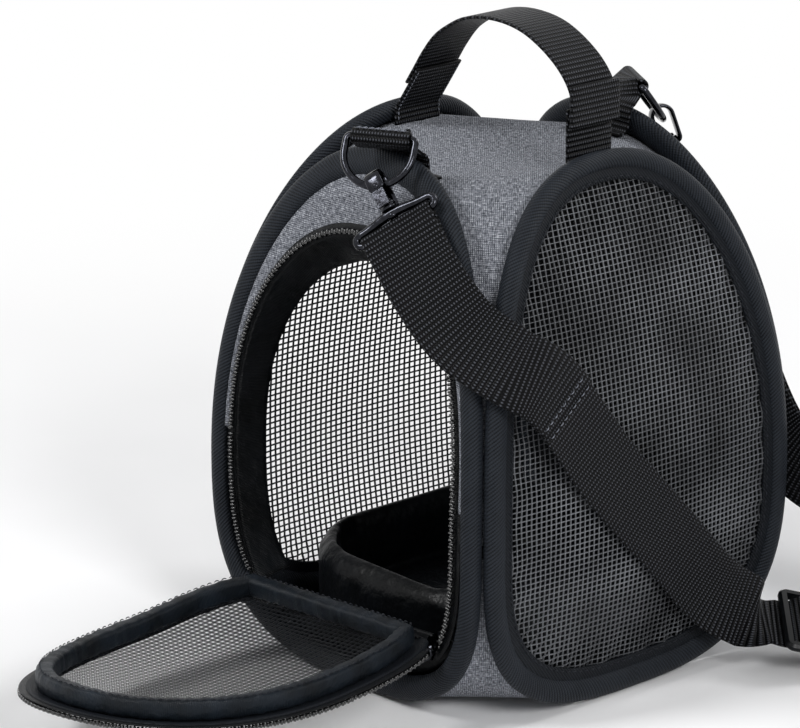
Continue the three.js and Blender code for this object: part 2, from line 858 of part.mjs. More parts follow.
// In the slider's own frame X points to the door, Y outwards and Z up along the zip.
function sliderBody() {
  const half = coilDepth / 2 + sliderClearance;
  const below = coilDepth / 2 + seamGap + tapeThickness + sliderClearance;
  const reach = edgeInset + sliderClearance;
  const web = sliderWidth - reach;
  const end = sliderLength / 2;
  const shield = new THREE.Shape();
  shield.moveTo(-reach, -end);
  shield.lineTo(web, -end);
  shield.lineTo(web, end - web);
  shield.quadraticCurveTo(web, end, web / 2, end);
  shield.lineTo(web - reach, end);
  shield.quadraticCurveTo(-reach, end, -reach, end - web);
  const settings = { depth: sliderPlate, bevelEnabled: false, curveSegments: 3 };
  const plate = (rise) => new THREE.ExtrudeGeometry(shield, settings)
    .rotateX(quarter).translate(0, rise + sliderPlate, 0);
  const post = new THREE.BoxGeometry(web - sliderClearance, half + below + sliderPlate, sliderLength - web)
    .translate((web + sliderClearance) / 2, (half - below) / 2, 0);
  const arch = [[-1, 0], [-1, 1], [1, 1], [1, 0]].map(([side, rise]) => point(
    -reach / 2,
    half + sliderPlate / 2 + rise * bridgeHeight,
    side * sliderLength / 4,
  ));
  const bridge = wireBody(roundedCorners(arch, bridgeWire * 1.5), point(1, 0, 0), bridgeWire, false);
  return joined(plate(half), plate(-below - sliderPlate), post, bridge);
}

// Cuts each inner corner of an open path to a short chord pair.
function roundedCorners(path, radius) {
  return path.flatMap((corner, i) => {
    if (i === 0 || i === path.length - 1) return [corner];
    const before = path[i - 1].clone().sub(corner).setLength(radius).add(corner);
    const after = path[i + 1].clone().sub(corner).setLength(radius).add(corner);
    const middle = before.clone().add(after).divideScalar(2).lerp(corner, 0.4);
    return [before, middle, after];
  });
}

// Pull with its loop's top at the origin, hanging down -Z, flat in the XZ plane.
function pullBody() {
  const half = pullLoopWidth / 2;
  const centres = [];
  for (let k = 0; k <= 4; k++) {
    const turn = Math.PI * k / 4;
    centres.push(point(half * Math.cos(turn), 0, half * Math.sin(turn) - half));
  }
  centres.push(point(-half * 0.6, 0, -pullLoopLength + half));
  centres.push(point(0, 0, -pullLoopLength));
  centres.push(point(half * 0.6, 0, -pullLoopLength + half));
  const loop = wireBody(centres, point(0, 1, 0), pullWire, true);
  const tip = lathe([
    [0, -pullTipLength],
    [pullTipRadius * 0.75, -pullTipLength],
    [pullTipRadius, -pullTipLength * 0.85],
    [pullTipRadius, -pullTipLength * 0.2],
    [pullTipRadius * 0.6, 0],
    [0, 0],
  ], 8).rotateX(quarter).translate(0, 0, pullWire - pullLoopLength);
  return joined(loop, tip);
}

// Handle and its tabs

const sidePanelTop = bagHeight - sideRollTopWidth / 2;
const handleTabX = panelDistance(panels.right, sidePanelTop) - handleTabInset;
const handleX = handleTabX + webbingThickness + layerGap;

function handleTabBody(side) {
  const foot = heightOver(topPiece, side * handleTabX, 0, handleWidth / 2) + seamGap;
  const places = [foot, mix(foot, handleTabTop, 0.5), handleTabTop].map((z) => ({
    at: point(side * handleTabX, 0, z),
    across: point(0, 1, 0),
  }));
  return ribbonBody(places, handleWidth, webbingThickness);
}

// Greatest height of a piece's upper face along a strip across the given place.
function heightOver(mesh, x, y, halfStrip) {
  const caster = new THREE.Raycaster();
  mesh.updateMatrixWorld();
  const heights = [];
  for (const share of [-1, -0.5, 0, 0.5, 1]) {
    for (const [px, py] of [[x + share * halfStrip, y], [x, y + share * halfStrip]]) {
      caster.set(point(px, py, 2 * bagHeight), upward.clone().negate());
      heights.push(...caster.intersectObject(mesh).map((hit) => hit.point.z));
    }
  }
  return Math.max(...heights);
}

function handleBody() {
  const across = point(0, 1, 0);
  const heights = [handleEnd, mix(handleEnd, handleBend, 0.5), handleBend];
  const leg = (side) => heights.map((z) => point(side * handleX, 0, z));
  const crown = crownShares.map(([x, z]) => point(x * handleX, 0, mix(handleBend, handleTop, z)));
  const route = [...leg(-1), ...crown, ...leg(1).reverse()].map((at) => ({ at, across }));
  return ribbonBody(routePlaces(route, handleSteps), handleWidth, webbingThickness);
}

// Rings with their tabs, hooks and strap loops. Each frame's Z is the direction that the piece hangs from.

function ringFrame(sign) {
  const roll = rollFrame(front, quarter);
  const across = point(Math.cos(ringTurn), Math.sin(ringTurn), 0);
  const forward = point(Math.sin(ringTurn), -Math.cos(ringTurn), 0);
  const origin = point(ringAcross, roll.centre.y - ringStandOff, ringBarHeight);
  const up = upward.clone().multiplyScalar(Math.cos(ringTilt)).addScaledVector(forward, -Math.sin(ringTilt));
  return mirrored({ origin, across, forward, up }, sign);
}

// The back hardware is the front's, seen in a mirror.
function mirrored(frame, sign) {
  return Object.fromEntries(Object.entries(frame).map(([key, v]) => [key, point(v.x, sign * v.y, v.z)]));
}

function ringBody() {
  const arcCentre = ringHalf - ringDrop;
  const centres = [point(ringCorner - ringHalf, 0, 0), point(ringHalf - ringCorner, 0, 0)];
  centres.push(point(ringHalf - ringCorner * 0.3, 0, -ringCorner * 0.3));
  centres.push(point(ringHalf, 0, -ringCorner));
  for (let k = 0; k <= 8; k++) {
    const turn = -Math.PI * k / 8;
    centres.push(point(ringHalf * Math.cos(turn), 0, arcCentre + ringHalf * Math.sin(turn)));
  }
  centres.push(point(-ringHalf, 0, -ringCorner));
  centres.push(point(ringCorner * 0.3 - ringHalf, 0, -ringCorner * 0.3));
  return wireBody(centres, point(0, 1, 0), ringWire, true);
}

// Webbing tab over the roll and round the ring's bar.
function ringTabBody(sign) {
  const roll = rollFrame(front, quarter);
  const halfWidth = rollHalfWidth(front, quarter);
  const off = seamGap * 2 + webbingThickness / 2;
  const { origin, across, forward } = ringFrame(1);
  const aroundRoll = (angle) => roll.centre.clone()
    .addScaledVector(roll.away, Math.cos(angle) * (halfWidth + off))
    .addScaledVector(roll.outward, Math.sin(angle) * (rollDepth / 2 + off))
    .setX(ringAcross);
  const wrap = ringWire + seamGap + webbingThickness / 2;
  const aroundBar = (angle, back) => origin.clone()
    .addScaledVector(forward, wrap * Math.sin(angle) - back * Math.cos(tabSlope))
    .addScaledVector(upward, wrap * Math.cos(angle) - back * Math.sin(tabSlope));
  const square = point(1, 0, 0);
  const behind = aroundRoll(quarter * tabBack);
  const tailHeight = heightOver(topPiece, ringAcross, -behind.y - tabTail, handleWidth / 2) + off;
  const places = [
    { at: point(ringAcross, behind.y + tabTail, tailHeight), across: square },
    { at: point(ringAcross, behind.y + tabTail / 3, tailHeight), across: square },
  ];
  for (let k = 0; k <= foldSteps - 1; k++) {
    places.push({ at: aroundRoll(quarter * mix(tabBack, tabFront, k / (foldSteps - 1))), across: square });
  }
  places.push({ at: aroundBar(-tabSlope, 2 * wrap), across });
  for (let k = 0; k <= foldSteps; k++) {
    places.push({ at: aroundBar(mix(-tabSlope, Math.PI - tabSlope, k / foldSteps), 0), across });
  }
  places.push({ at: aroundBar(Math.PI - tabSlope, tabUnderlap), across });
  return ribbonBody(places.map(({ at, across: width }) => ({
    at: point(at.x, sign * at.y, at.z),
    across: point(width.x, sign * width.y, width.z),
  })), handleWidth, webbingThickness);
}

const hookCrest = hookHold + hookSlack;

// Hook in its own frame: Z points to its crest, X lies across its opening.
function hookBody() {
  const outer = hookHalf + hookBand;
  const bend = hookCrest - hookHalf;
  const profile = new THREE.Shape();
  profile.moveTo(-pinHeadRadius, 0);
  profile.lineTo(-outer, hookBand);
  profile.lineTo(-outer, bend);
  profile.absarc(0, bend, outer, Math.PI, 0, true);
  profile.lineTo(outer, hookCrest - hookNose);
  profile.lineTo(hookHalf, hookCrest - hookNose);
  profile.lineTo(hookHalf, bend);
  profile.absarc(0, bend, hookHalf, 0, Math.PI, false);
  profile.lineTo(-hookHalf, hookCollarLength);
  profile.lineTo(-pinHeadRadius, hookCollarLength * 0.8);
  const settings = { depth: hookBandWidth, bevelEnabled: false, curveSegments: 6 };
  const band = new THREE.ExtrudeGeometry(profile, settings)
    .translate(0, 0, -hookBandWidth / 2).rotateX(quarter);
  const collar = lathe([
    [pinRadius + swivelClearance, 0],
    [hookCollarRadius, 0],
    [hookCollarRadius, hookCollarLength],
    [pinRadius + swivelClearance, hookCollarLength],
    [pinRadius + swivelClearance, 0],
  ], 12).rotateX(quarter);
  const bore = new THREE.CylinderGeometry(
    pinRadius + swivelClearance,
    pinRadius + swivelClearance,
    3 * hookCollarLength,
    12,
  ).rotateX(quarter);
  return cutBy(joined(collar, band), bore);
}

// Sprung gate between the collar and the hook's free end, with its foot at the origin.
function gateBody(length) {
  const gate = new THREE.BoxGeometry(gateThickness, hookBandWidth - hookBand, length);
  return gate.translate(0, 0, length / 2);
}

// Strap loop with the swivel's headed pin, in its hook's frame.
function loopBody() {
  const pin = lathe([
    [0, -eyeDrop],
    [pinRadius, -eyeDrop],
    [pinRadius, hookCollarLength + swivelClearance],
    [pinHeadRadius, hookCollarLength + swivelClearance],
    [pinHeadRadius, hookCollarLength + swivelClearance + pinHeadLength],
    [0, hookCollarLength + swivelClearance + pinHeadLength],
  ], 10).rotateX(quarter);
  const end = loopDepth / 2;
  const centres = [];
  for (const side of [1, -1]) {
    for (let k = 0; k <= 4; k++) {
      const turn = Math.PI * k / 4;
      centres.push(point(
        0,
        side * (loopHalf - end + end * Math.sin(turn)),
        side * end * Math.cos(turn) - eyeDrop - end,
      ));
    }
  }
  return joined(wireBody(centres, point(1, 0, 0), loopWire, true), pin);
}

// Adjuster in its own frame: X along the strap, Y across it.
function adjusterBody() {
  const halfLength = adjusterLength / 2;
  const plate = roundedSlab(
    halfLength,
    adjusterWidth / 2,
    adjusterCorner,
    -adjusterThickness / 2,
    adjusterThickness / 2,
    adjusterEdge,
  );
  const slotLength = halfLength - adjusterRim - adjusterBar / 2;
  const slots = [-1, 1].map((side) => new THREE.BoxGeometry(
    slotLength,
    adjusterWidth - 2 * adjusterRim,
    3 * adjusterThickness,
  ).translate(side * (adjusterBar + slotLength) / 2, 0, 0));
  return cutBy(plate, ...slots);
}

// Board and pad

function roundedSlab(halfX, halfY, corner, low, high, rounding) {
  const shape = new THREE.Shape();
  const inner = [halfX - rounding, halfY - rounding];
  const radius = corner - rounding;
  shape.moveTo(-inner[0] + radius, -inner[1]);
  shape.lineTo(inner[0] - radius, -inner[1]);
  shape.absarc(inner[0] - radius, -inner[1] + radius, radius, -quarter, 0, false);
  shape.lineTo(inner[0], inner[1] - radius);
  shape.absarc(inner[0] - radius, inner[1] - radius, radius, 0, quarter, false);
  shape.lineTo(-inner[0] + radius, inner[1]);
  shape.absarc(-inner[0] + radius, inner[1] - radius, radius, quarter, Math.PI, false);
  shape.lineTo(-inner[0], -inner[1] + radius);
  shape.absarc(-inner[0] + radius, -inner[1] + radius, radius, Math.PI, 3 * quarter, false);
  const settings = {
    depth: high - low - 2 * rounding,
    bevelEnabled: rounding > 0,
    bevelThickness: rounding,
    bevelSize: rounding,
    bevelSegments: 1,
    curveSegments: 6,
  };
  return new THREE.ExtrudeGeometry(shape, settings).translate(0, 0, low + rounding);
}

const boardLow = clothThickness + 3 * seamGap;
const padLow = boardLow + boardThickness + seamGap;

function padBody() {
  const outer = roundedSlab(padHalfWidth, padHalfDepth, padCorner, padLow, padTop, padRounding);
  const inner = roundedSlab(
    padHalfWidth - padWall,
    padHalfDepth - padWall,
    padCorner - padWall,
    padLow + padFloor,
    padTop + padWall,
    0,
  );
  return cutBy(outer, inner);
}

// Assembly

const bag = new THREE.Group();

function addPiece(parent, name, geometry, material) {
  const mesh = new THREE.Mesh(geometry, material);
  mesh.name = name;
  parent.add(mesh);
  return mesh;
}

function placedGroup(parent, origin, xAxis, yAxis, zAxis) {
  const group = new THREE.Group();
  group.position.copy(origin);
  group.quaternion.setFromRotationMatrix(new THREE.Matrix4().makeBasis(xAxis, yAxis, zAxis));
  parent.add(group);
  return group;
}

function turnedGroup(panel) {
  const group = new THREE.Group();
  group.rotation.z = panel.turn;
  bag.add(group);
  return group;
}

for (const [name, panel] of Object.entries(panels)) {
  const group = turnedGroup(panel);
  addPiece(group, `${name}_rim`, rollBody(panel), twillCloth);
  if (name === 'back') addPiece(group, 'back_panel', plainSheet(panel, seamGap, clothThickness, 0), heatherCloth);
  if (name === 'left' || name === 'right') {
    addPiece(group, `${name}_window_binding`, bindingBody(panel), twillCloth);
    const inset = 2 * seamGap + windowBindingWidth;
    addPiece(group, `${name}_window_mesh`, plainSheet(panel, inset, meshThickness, windowBulge), meshNet);
  }
}

const topPiece = addPiece(bag, 'top_panel', gussetBody(true, topMiddle()), heatherCloth);
addPiece(bag, 'base_panel', gussetBody(false, point(0, 0, 0)), heatherCloth);
addPiece(bag, 'front_panel', crescentBody(), heatherCloth);
addPiece(bag, 'front_sill', sillBody(), liningCloth);
addPiece(bag, 'frame_zip_tape', alongArch(-coilInset, tapeRise, tapeSection, coilStart), liningCloth);
addPiece(bag, 'frame_zip_coil', alongArch(-coilInset, coilRise, coilSection, coilStart), zipNylon);

const hingePoint = point(0, -panelDistance(front, hingeHeight) - clothThickness / 2 - hingeStandOff, hingeHeight);
const hingeAxis = point(Math.cos(hingeTilt), 0, Math.sin(hingeTilt));
const doorTurn = new THREE.Group();
doorTurn.position.copy(hingePoint);
doorTurn.quaternion.setFromAxisAngle(hingeAxis, doorOpenAngle);
bag.add(doorTurn);
const door = new THREE.Group();
door.position.copy(hingePoint).negate();
doorTurn.add(door);
const doorCoilStart = sliderRise + sliderLength / 2 + sliderTravel + doorCoilGap;
addPiece(door, 'door_band', doorBandBody(), twillCloth);
addPiece(door, 'door_mesh', doorMeshBody(), meshNet);
addPiece(door, 'door_roll', doorRollBody(), liningCloth);
addPiece(door, 'door_zip_tape', alongArch(coilInset, tapeRise, tapeSection, doorCoilStart), liningCloth);
addPiece(door, 'door_zip_coil', alongArch(coilInset, coilRise, coilSection, doorCoilStart), zipNylon);

// Slider and pull
const slide = sliderFrame();
const sliderGroup = placedGroup(bag, slide.origin, slide.inward, slide.outward, slide.along);
addPiece(sliderGroup, 'zip_slider', sliderBody(), gunmetal);
const pullTop = coilDepth / 2 + sliderClearance + sliderPlate / 2 + bridgeHeight - bridgeWire - seamGap - pullWire;
const pullGroup = new THREE.Group();
pullGroup.position.set(-(edgeInset + sliderClearance) / 2, pullTop, 0);
pullGroup.rotation.y = -pullSlant;
sliderGroup.add(pullGroup);
addPiece(pullGroup, 'zip_pull', pullBody(), gunmetal);

// Handle
addPiece(bag, 'handle_tab_left', handleTabBody(-1), webbing);
addPiece(bag, 'handle_tab_right', handleTabBody(1), webbing);
addPiece(bag, 'handle', handleBody(), webbing);

// Rings, hooks and the strap between them
const vectorOf = (list) => point(...list);

function addHardware(side, sign, way, loopWidth) {
  const ring = ringFrame(sign);
  const ringGroup = placedGroup(bag, ring.origin, ring.across, ring.up.clone().cross(ring.across), ring.up);
  addPiece(ringGroup, `${side}_ring`, ringBody(), gunmetal);
  addPiece(bag, `${side}_ring_tab`, ringTabBody(sign), webbing);
  const back = vectorOf(way).normalize().negate();
  const across = vectorOf(loopWidth);
  across.addScaledVector(back, -across.dot(back)).normalize();
  const face = across.clone().cross(back).normalize();
  const base = ring.origin.clone()
    .addScaledVector(ring.up, -ringDrop)
    .addScaledVector(ring.across, hookShift)
    .addScaledVector(back, -hookHold);
  const hookGroup = placedGroup(bag, base, face, across, back);
  addPiece(hookGroup, `${side}_hook`, hookBody(), gunmetal);
  addPiece(hookGroup, `${side}_strap_loop`, loopBody(), gunmetal);
  const gateFoot = hookCollarLength / 3;
  const gateLength = hookCrest - hookNose - seamGap - gateFoot;
  const gate = addPiece(hookGroup, `${side}_gate`, gateBody(gateLength), gunmetal);
  gate.position.set(hookHalf + hookBand / 2, 0, gateFoot);
  const barAt = base.clone().addScaledVector(back, -eyeDrop - loopDepth);
  return { at: barAt, across, face, back };
}

const routeOf = (list) => list.map(([at, across]) => ({ at: vectorOf(at), across: vectorOf(across) }));
const frontBar = addHardware('front', 1, frontHookWay, frontLoopWidth);
const backBar = addHardware('back', -1, backHookWay, backLoopWidth);

const adjusterAlong = vectorOf(adjusterPlace[2]).normalize();
const adjusterAcross = vectorOf(adjusterPlace[1]);
adjusterAcross.addScaledVector(adjusterAlong, -adjusterAcross.dot(adjusterAlong)).normalize();
const adjusterFace = adjusterAlong.clone().cross(adjusterAcross);
const adjusterAt = vectorOf(adjusterPlace[0]);
const adjusterGroup = placedGroup(bag, adjusterAt, adjusterAlong, adjusterAcross, adjusterFace);
addPiece(adjusterGroup, 'strap_adjuster', adjusterBody(), blackPlastic);

// A place of the strap in the adjuster, at a distance along it and off its middle plane.
function inAdjuster(along, off) {
  const at = adjusterAt.clone().addScaledVector(adjusterAlong, along).addScaledVector(adjusterFace, off);
  return { at, across: adjusterAcross };
}

const weave = adjusterThickness / 2 + seamGap + webbingThickness / 2;
const frontStretch = routePlaces([
  { at: frontBar.at.clone().addScaledVector(frontBar.back, -1), across: frontBar.across },
  ...routeOf(frontRoute),
  inAdjuster(-adjusterLength / 2 - foldSettle / 2, -weave),
  inAdjuster(-adjusterLength / 2 - layerGap, -weave),
], frontSteps);
const barInside = adjusterLength / 2 - adjusterRim - webbingThickness / 2;
const threaded = [
  inAdjuster(-barInside, -weave),
  inAdjuster(-adjusterBar / 2 - webbingThickness / 2, weave),
  inAdjuster(adjusterBar / 2 + webbingThickness / 2, weave),
  inAdjuster(barInside, -weave),
  inAdjuster(adjusterLength / 2 + layerGap, -weave),
];
const frontStrap = [...foldedPlaces(frontStretch, frontBar, foldBackLength, 0), ...threaded];
addPiece(bag, 'strap_front', ribbonBody(frontStrap, strapWidth, webbingThickness), webbing);
const rearStretch = routePlaces([
  { at: backBar.at.clone().addScaledVector(backBar.back, -1), across: backBar.across },
  ...routeOf(rearRoute).reverse(),
  inAdjuster(adjusterLength / 2 + foldSettle, 0),
  inAdjuster(adjusterLength / 2 + 2 * layerGap, 0),
], rearSteps);
const rearStrap = [
  ...foldedPlaces(rearStretch, backBar, Infinity, weave),
  inAdjuster(barInside + webbingThickness, weave),
];
addPiece(bag, 'strap_rear', ribbonBody(rearStrap, strapWidth, webbingThickness), webbing);

// Board and pad
const board = roundedSlab(boardHalf, boardHalf, boardCorner, boardLow, boardLow + boardThickness, 0);
addPiece(bag, 'base_board', board, boardStock);
addPiece(bag, 'pad', padBody(), liningCloth);

export default bag;
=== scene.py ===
import math

import bmesh
import bpy
import numpy as np
from mathutils import Matrix, Vector
from mathutils.bvhtree import BVHTree


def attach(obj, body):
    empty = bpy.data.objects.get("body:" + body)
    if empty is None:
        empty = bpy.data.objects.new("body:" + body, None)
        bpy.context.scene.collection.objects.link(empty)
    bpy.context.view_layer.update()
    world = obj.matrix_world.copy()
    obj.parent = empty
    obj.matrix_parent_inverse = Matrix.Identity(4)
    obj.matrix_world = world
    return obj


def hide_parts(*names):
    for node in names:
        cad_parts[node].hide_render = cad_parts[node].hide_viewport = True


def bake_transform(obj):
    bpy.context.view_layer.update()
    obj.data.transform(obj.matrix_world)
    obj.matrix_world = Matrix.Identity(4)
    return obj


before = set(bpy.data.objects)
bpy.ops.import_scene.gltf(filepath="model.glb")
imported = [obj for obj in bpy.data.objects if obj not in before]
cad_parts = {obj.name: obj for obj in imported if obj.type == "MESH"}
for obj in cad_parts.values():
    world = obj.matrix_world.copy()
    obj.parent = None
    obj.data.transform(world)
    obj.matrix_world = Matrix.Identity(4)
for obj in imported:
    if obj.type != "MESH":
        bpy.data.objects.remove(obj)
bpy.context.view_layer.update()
mm = 0.001
quarter = math.pi / 2
fullTurn = 2 * math.pi
print("frame loaded")

# Colours and nodes


def linear(code):  # sRGB hex to the linear values that sockets take
    parts = [int(code[i:i + 2], 16) / 255 for i in (1, 3, 5)]
    return tuple(c / 12.92 if c <= 0.04045 else ((c + 0.055) / 1.055) ** 2.4 for c in parts) + (1.0,)


def addNode(tree, kind, links=None, **settings):  # a node with its settings, values and links
    made = tree.nodes.new(kind)
    for key, value in settings.items():
        setattr(made, key, value)
    for socket, value in (links or {}).items():
        if isinstance(value, bpy.types.NodeSocket):
            tree.links.new(value, made.inputs[socket])
        else:
            made.inputs[socket].default_value = value
    return made


def newFinish(name, **sockets):  # a material with its shader's own values
    made = bpy.data.materials.new(name)
    made.use_nodes = True
    shader = made.node_tree.nodes["Principled BSDF"]
    for socket, value in sockets.items():
        shader.inputs[socket.replace("_", " ")].default_value = value
    return made, made.node_tree, shader


def calc(tree, operation, first, second=0.0, third=0.0):
    return addNode(tree, "ShaderNodeMath", {0: first, 1: second, 2: third}, operation=operation).outputs[0]


def weigh(tree, first, second, share):  # the first by its share and the second by the rest
    parts = calc(tree, "MULTIPLY", first, share), calc(tree, "MULTIPLY", second, 1 - share)
    return calc(tree, "ADD", *parts)


def weaveAxes(tree):  # the piece's own lengths in millimetres, along and across the cloth
    uv = addNode(tree, "ShaderNodeUVMap", uv_map="weave")
    split = addNode(tree, "ShaderNodeSeparateXYZ", {0: uv.outputs[0]})
    return calc(tree, "MULTIPLY", split.outputs[0], 1000), calc(tree, "MULTIPLY", split.outputs[1], 1000)


def ridges(tree, place, pitch):  # rounded ridges, 0 in the valleys and 1 on the crests
    return calc(tree, "ABSOLUTE", calc(tree, "SINE", calc(tree, "MULTIPLY", place, math.pi / pitch)))


def mottle(tree, size, detail=3.0):  # noise with grains of a size in mm
    place = addNode(tree, "ShaderNodeTexCoord").outputs["Object"]
    links = {"Vector": place, "Scale": 1 / (size * mm), "Detail": detail}
    return addNode(tree, "ShaderNodeTexNoise", links).outputs["Fac"]


def paint(tree, shader, value, *stops):  # base colours along a value, as (place, colour) pairs
    made = addNode(tree, "ShaderNodeValToRGB", {0: value})
    elements = made.color_ramp.elements
    while len(elements) < len(stops):
        elements.new(0.5)
    for element, (place, colour) in zip(elements, stops):
        element.position = place
        element.color = linear(colour)
    tree.links.new(made.outputs[0], shader.inputs["Base Color"])


def relief(tree, shader, height, depth):  # bump of a depth in mm
    bump = addNode(tree, "ShaderNodeBump", {"Strength": 1.0, "Distance": depth * mm, "Height": height})
    tree.links.new(bump.outputs[0], shader.inputs["Normal"])


# Heather polyester oxford: two-tone yarn, so light and dark flecks run along both threads of a dry, matt
# face; the thread crests are painted paler and the gaps between threads darker, as painted highlight and
# shade
def makeHeather():
    made, tree, shader = newFinish("heatherOxford", Roughness=0.92, Specular_IOR_Level=0.1, Sheen_Weight=0.03)
    u, v = weaveAxes(tree)

    def flecks(alongScale, acrossScale):
        parts = {0: calc(tree, "MULTIPLY", u, alongScale), 1: calc(tree, "MULTIPLY", v, acrossScale)}
        place = addNode(tree, "ShaderNodeCombineXYZ", parts).outputs[0]
        links = {"Vector": place, "Scale": 1.0, "Detail": 2.0}
        return addNode(tree, "ShaderNodeTexNoise", links).outputs["Fac"]
    weft, warp = flecks(0.4, 2.2), flecks(2.2, 0.4)  # 2.5 mm long and 0.45 mm wide
    cross = weigh(tree, weft, warp, 0.5)
    yarn = 0.8  # coarser than the real 0.4 mm
    threads = calc(tree, "MULTIPLY", ridges(tree, u, yarn), ridges(tree, v, yarn))
    # the flecks are the yarn's own two tones; mixed into them, the thread crests are painted paler as
    # highlight and the gaps darker as shade
    mottleAndPaintedLight = weigh(tree, cross, threads, 0.86)
    paint(tree, shader, mottleAndPaintedLight, (0.34, "#2c2f34"), (0.45, "#5c5f66"), (0.54, "#888b93"), (0.66, "#c6c9cf"))
    relief(tree, shader, threads, 0.16)
    return made


# Twill binding tape: steep diagonal ribs with a faint blue sheen where the light runs along them; the rib
# crests are painted pale as a highlight and the grooves dark as shade
def makeTwill(name, dark, pale, pitch):
    made, tree, shader = newFinish(name, Roughness=0.48, Specular_IOR_Level=0.09, Sheen_Weight=0.012)
    shader.inputs["Sheen Tint"].default_value = linear("#a9b6cc")
    u, v = weaveAxes(tree)
    slant = calc(tree, "ADD", calc(tree, "MULTIPLY", u, 0.8), calc(tree, "MULTIPLY", v, 0.6))
    counter = calc(tree, "SUBTRACT", calc(tree, "MULTIPLY", u, 0.6), calc(tree, "MULTIPLY", v, 0.8))
    ribs, cells = ridges(tree, slant, pitch), ridges(tree, counter, pitch * 0.75)
    height = weigh(tree, ribs, cells, 0.75)
    # painted light: the rib crests take the pale colour as a painted highlight and the grooves the dark one
    # as painted shade, with some random mottle
    mottleAndPaintedLight = weigh(tree, height, mottle(tree, 9), 0.7)
    paint(tree, shader, mottleAndPaintedLight, (0.25, dark), (0.8, pale))
    relief(tree, shader, height, 0.3)
    return made


# Satin lining: smooth filament cloth, nearly black, with soft highlights along its puckers
def makeSatin(name, dark, pale):
    made, tree, shader = newFinish(name, Roughness=0.36, Specular_IOR_Level=0.12, Sheen_Weight=0.01)
    shader.inputs["Sheen Tint"].default_value = linear("#b4bccb")
    u = weaveAxes(tree)[0]
    fine = calc(tree, "MULTIPLY", ridges(tree, u, 0.7), 0.12)  # coarser than the real 0.3 mm filament
    folds = calc(tree, "ADD", fine, mottle(tree, 7, 4.0))
    paint(tree, shader, mottle(tree, 16), (0.3, dark), (0.75, pale))
    relief(tree, shader, folds, 1.3)
    return made


# Coated polyester net: stiff threads, painted dark at their sides as shade and pale along their rounded tops
# as a highlight
def makeNet(name, dark, pale, pitches, threads):  # spacing and girth of the upright and level threads
    made, tree, shader = newFinish(name, Roughness=0.36, Specular_IOR_Level=0.15)
    u, v = weaveAxes(tree)
    waves = []
    for place, pitch, thread in zip((u, v), pitches, threads):
        wave = calc(tree, "COSINE", calc(tree, "MULTIPLY", place, fullTurn / pitch))
        waves.append(calc(tree, "SUBTRACT", wave, math.cos(math.pi * thread / pitch)))
    web = calc(tree, "SMOOTH_MAX", waves[0], waves[1], 0.25)
    tree.links.new(calc(tree, "GREATER_THAN", web, 0.02), shader.inputs["Alpha"])
    patches = mottle(tree, 38)  # some of the mesh catches less light
    paintedThreadLight = calc(tree, "SUBTRACT", web, calc(tree, "MULTIPLY", patches, 0.2))
    # painted light: pale thread tops as a highlight, dark sides as shade, and some patches painted in shade
    paint(tree, shader, paintedThreadLight, (0.0, dark), (0.2, pale))
    relief(tree, shader, web, 0.3)
    return made


# Polypropylene webbing: heavy ribs across the strap, each a row of glossy beads where yarns cross, on black;
# the bead tops are painted pale as a highlight and the grooves near black as shade
def makeWebbing():
    gloss = dict(Roughness=0.4, Specular_IOR_Level=0.08, Sheen_Weight=0.005)
    made, tree, shader = newFinish("polypropyleneWebbing", **gloss)
    u, v = weaveAxes(tree)
    pitch, bead = 2.2, 1.25  # rib spacing and yarn spacing
    row = calc(tree, "FLOOR", calc(tree, "DIVIDE", u, pitch))
    shifted = calc(tree, "ADD", v, calc(tree, "MULTIPLY", calc(tree, "MODULO", row, 2), bead / 2))
    beads = ridges(tree, shifted, bead)
    ribs = ridges(tree, u, pitch)
    height = calc(tree, "MULTIPLY", ribs, calc(tree, "ADD", calc(tree, "MULTIPLY", beads, 0.6), 0.4))
    # painted light: pale bead tops as a highlight, near-black grooves as shade
    paint(tree, shader, height, (0.3, "#020203"), (0.72, "#0b0c0e"), (0.98, "#4a4c52"))
    relief(tree, shader, height, 0.6)
    return made


# Nylon 6 zip coil: moulded by heat setting, so slightly glossy, black
def makeNylon():
    made, tree, shader = newFinish("nylonCoil", Roughness=0.2, IOR=1.53, Coat_Weight=0.5, Coat_Roughness=0.08)
    paint(tree, shader, mottle(tree, 3), (0.3, "#040405"), (0.8, "#0c0d0f"))
    return made


# Black nickel plating on zinc alloy: a dark mirror, sharp at its highlights, with faint polishing haze
def makeGunmetal():
    made, tree, shader = newFinish("blackNickelPlate", Metallic=1.0, Roughness=0.12)
    haze = mottle(tree, 2.5, 5.0)
    paint(tree, shader, haze, (0.3, "#222326"), (0.7, "#34353a"))
    rough = addNode(tree, "ShaderNodeMapRange", {0: haze, 1: 0.3, 2: 0.7, 3: 0.07, 4: 0.17})
    tree.links.new(rough.outputs[0], shader.inputs["Roughness"])
    relief(tree, shader, haze, 0.06)
    return made


# Moulded acetal: black, smooth with a faint grain, soft highlight
def makeAcetal(name, dark, pale, roughness):
    made, tree, shader = newFinish(name, Roughness=roughness, IOR=1.48, Specular_IOR_Level=0.15)
    grain = mottle(tree, 0.8, 4.0)
    paint(tree, shader, grain, (0.3, dark), (0.75, pale))
    relief(tree, shader, grain, 0.04)
    return made


# Bonded polyester sewing thread: twisted, a shade paler than the cloth it holds
def makeThread(name, dark, pale):
    made, tree, shader = newFinish(name, Roughness=0.5, Specular_IOR_Level=0.1, Sheen_Weight=0.02)
    paint(tree, shader, mottle(tree, 0.6), (0.35, dark), (0.7, pale))
    return made


heather = makeHeather()
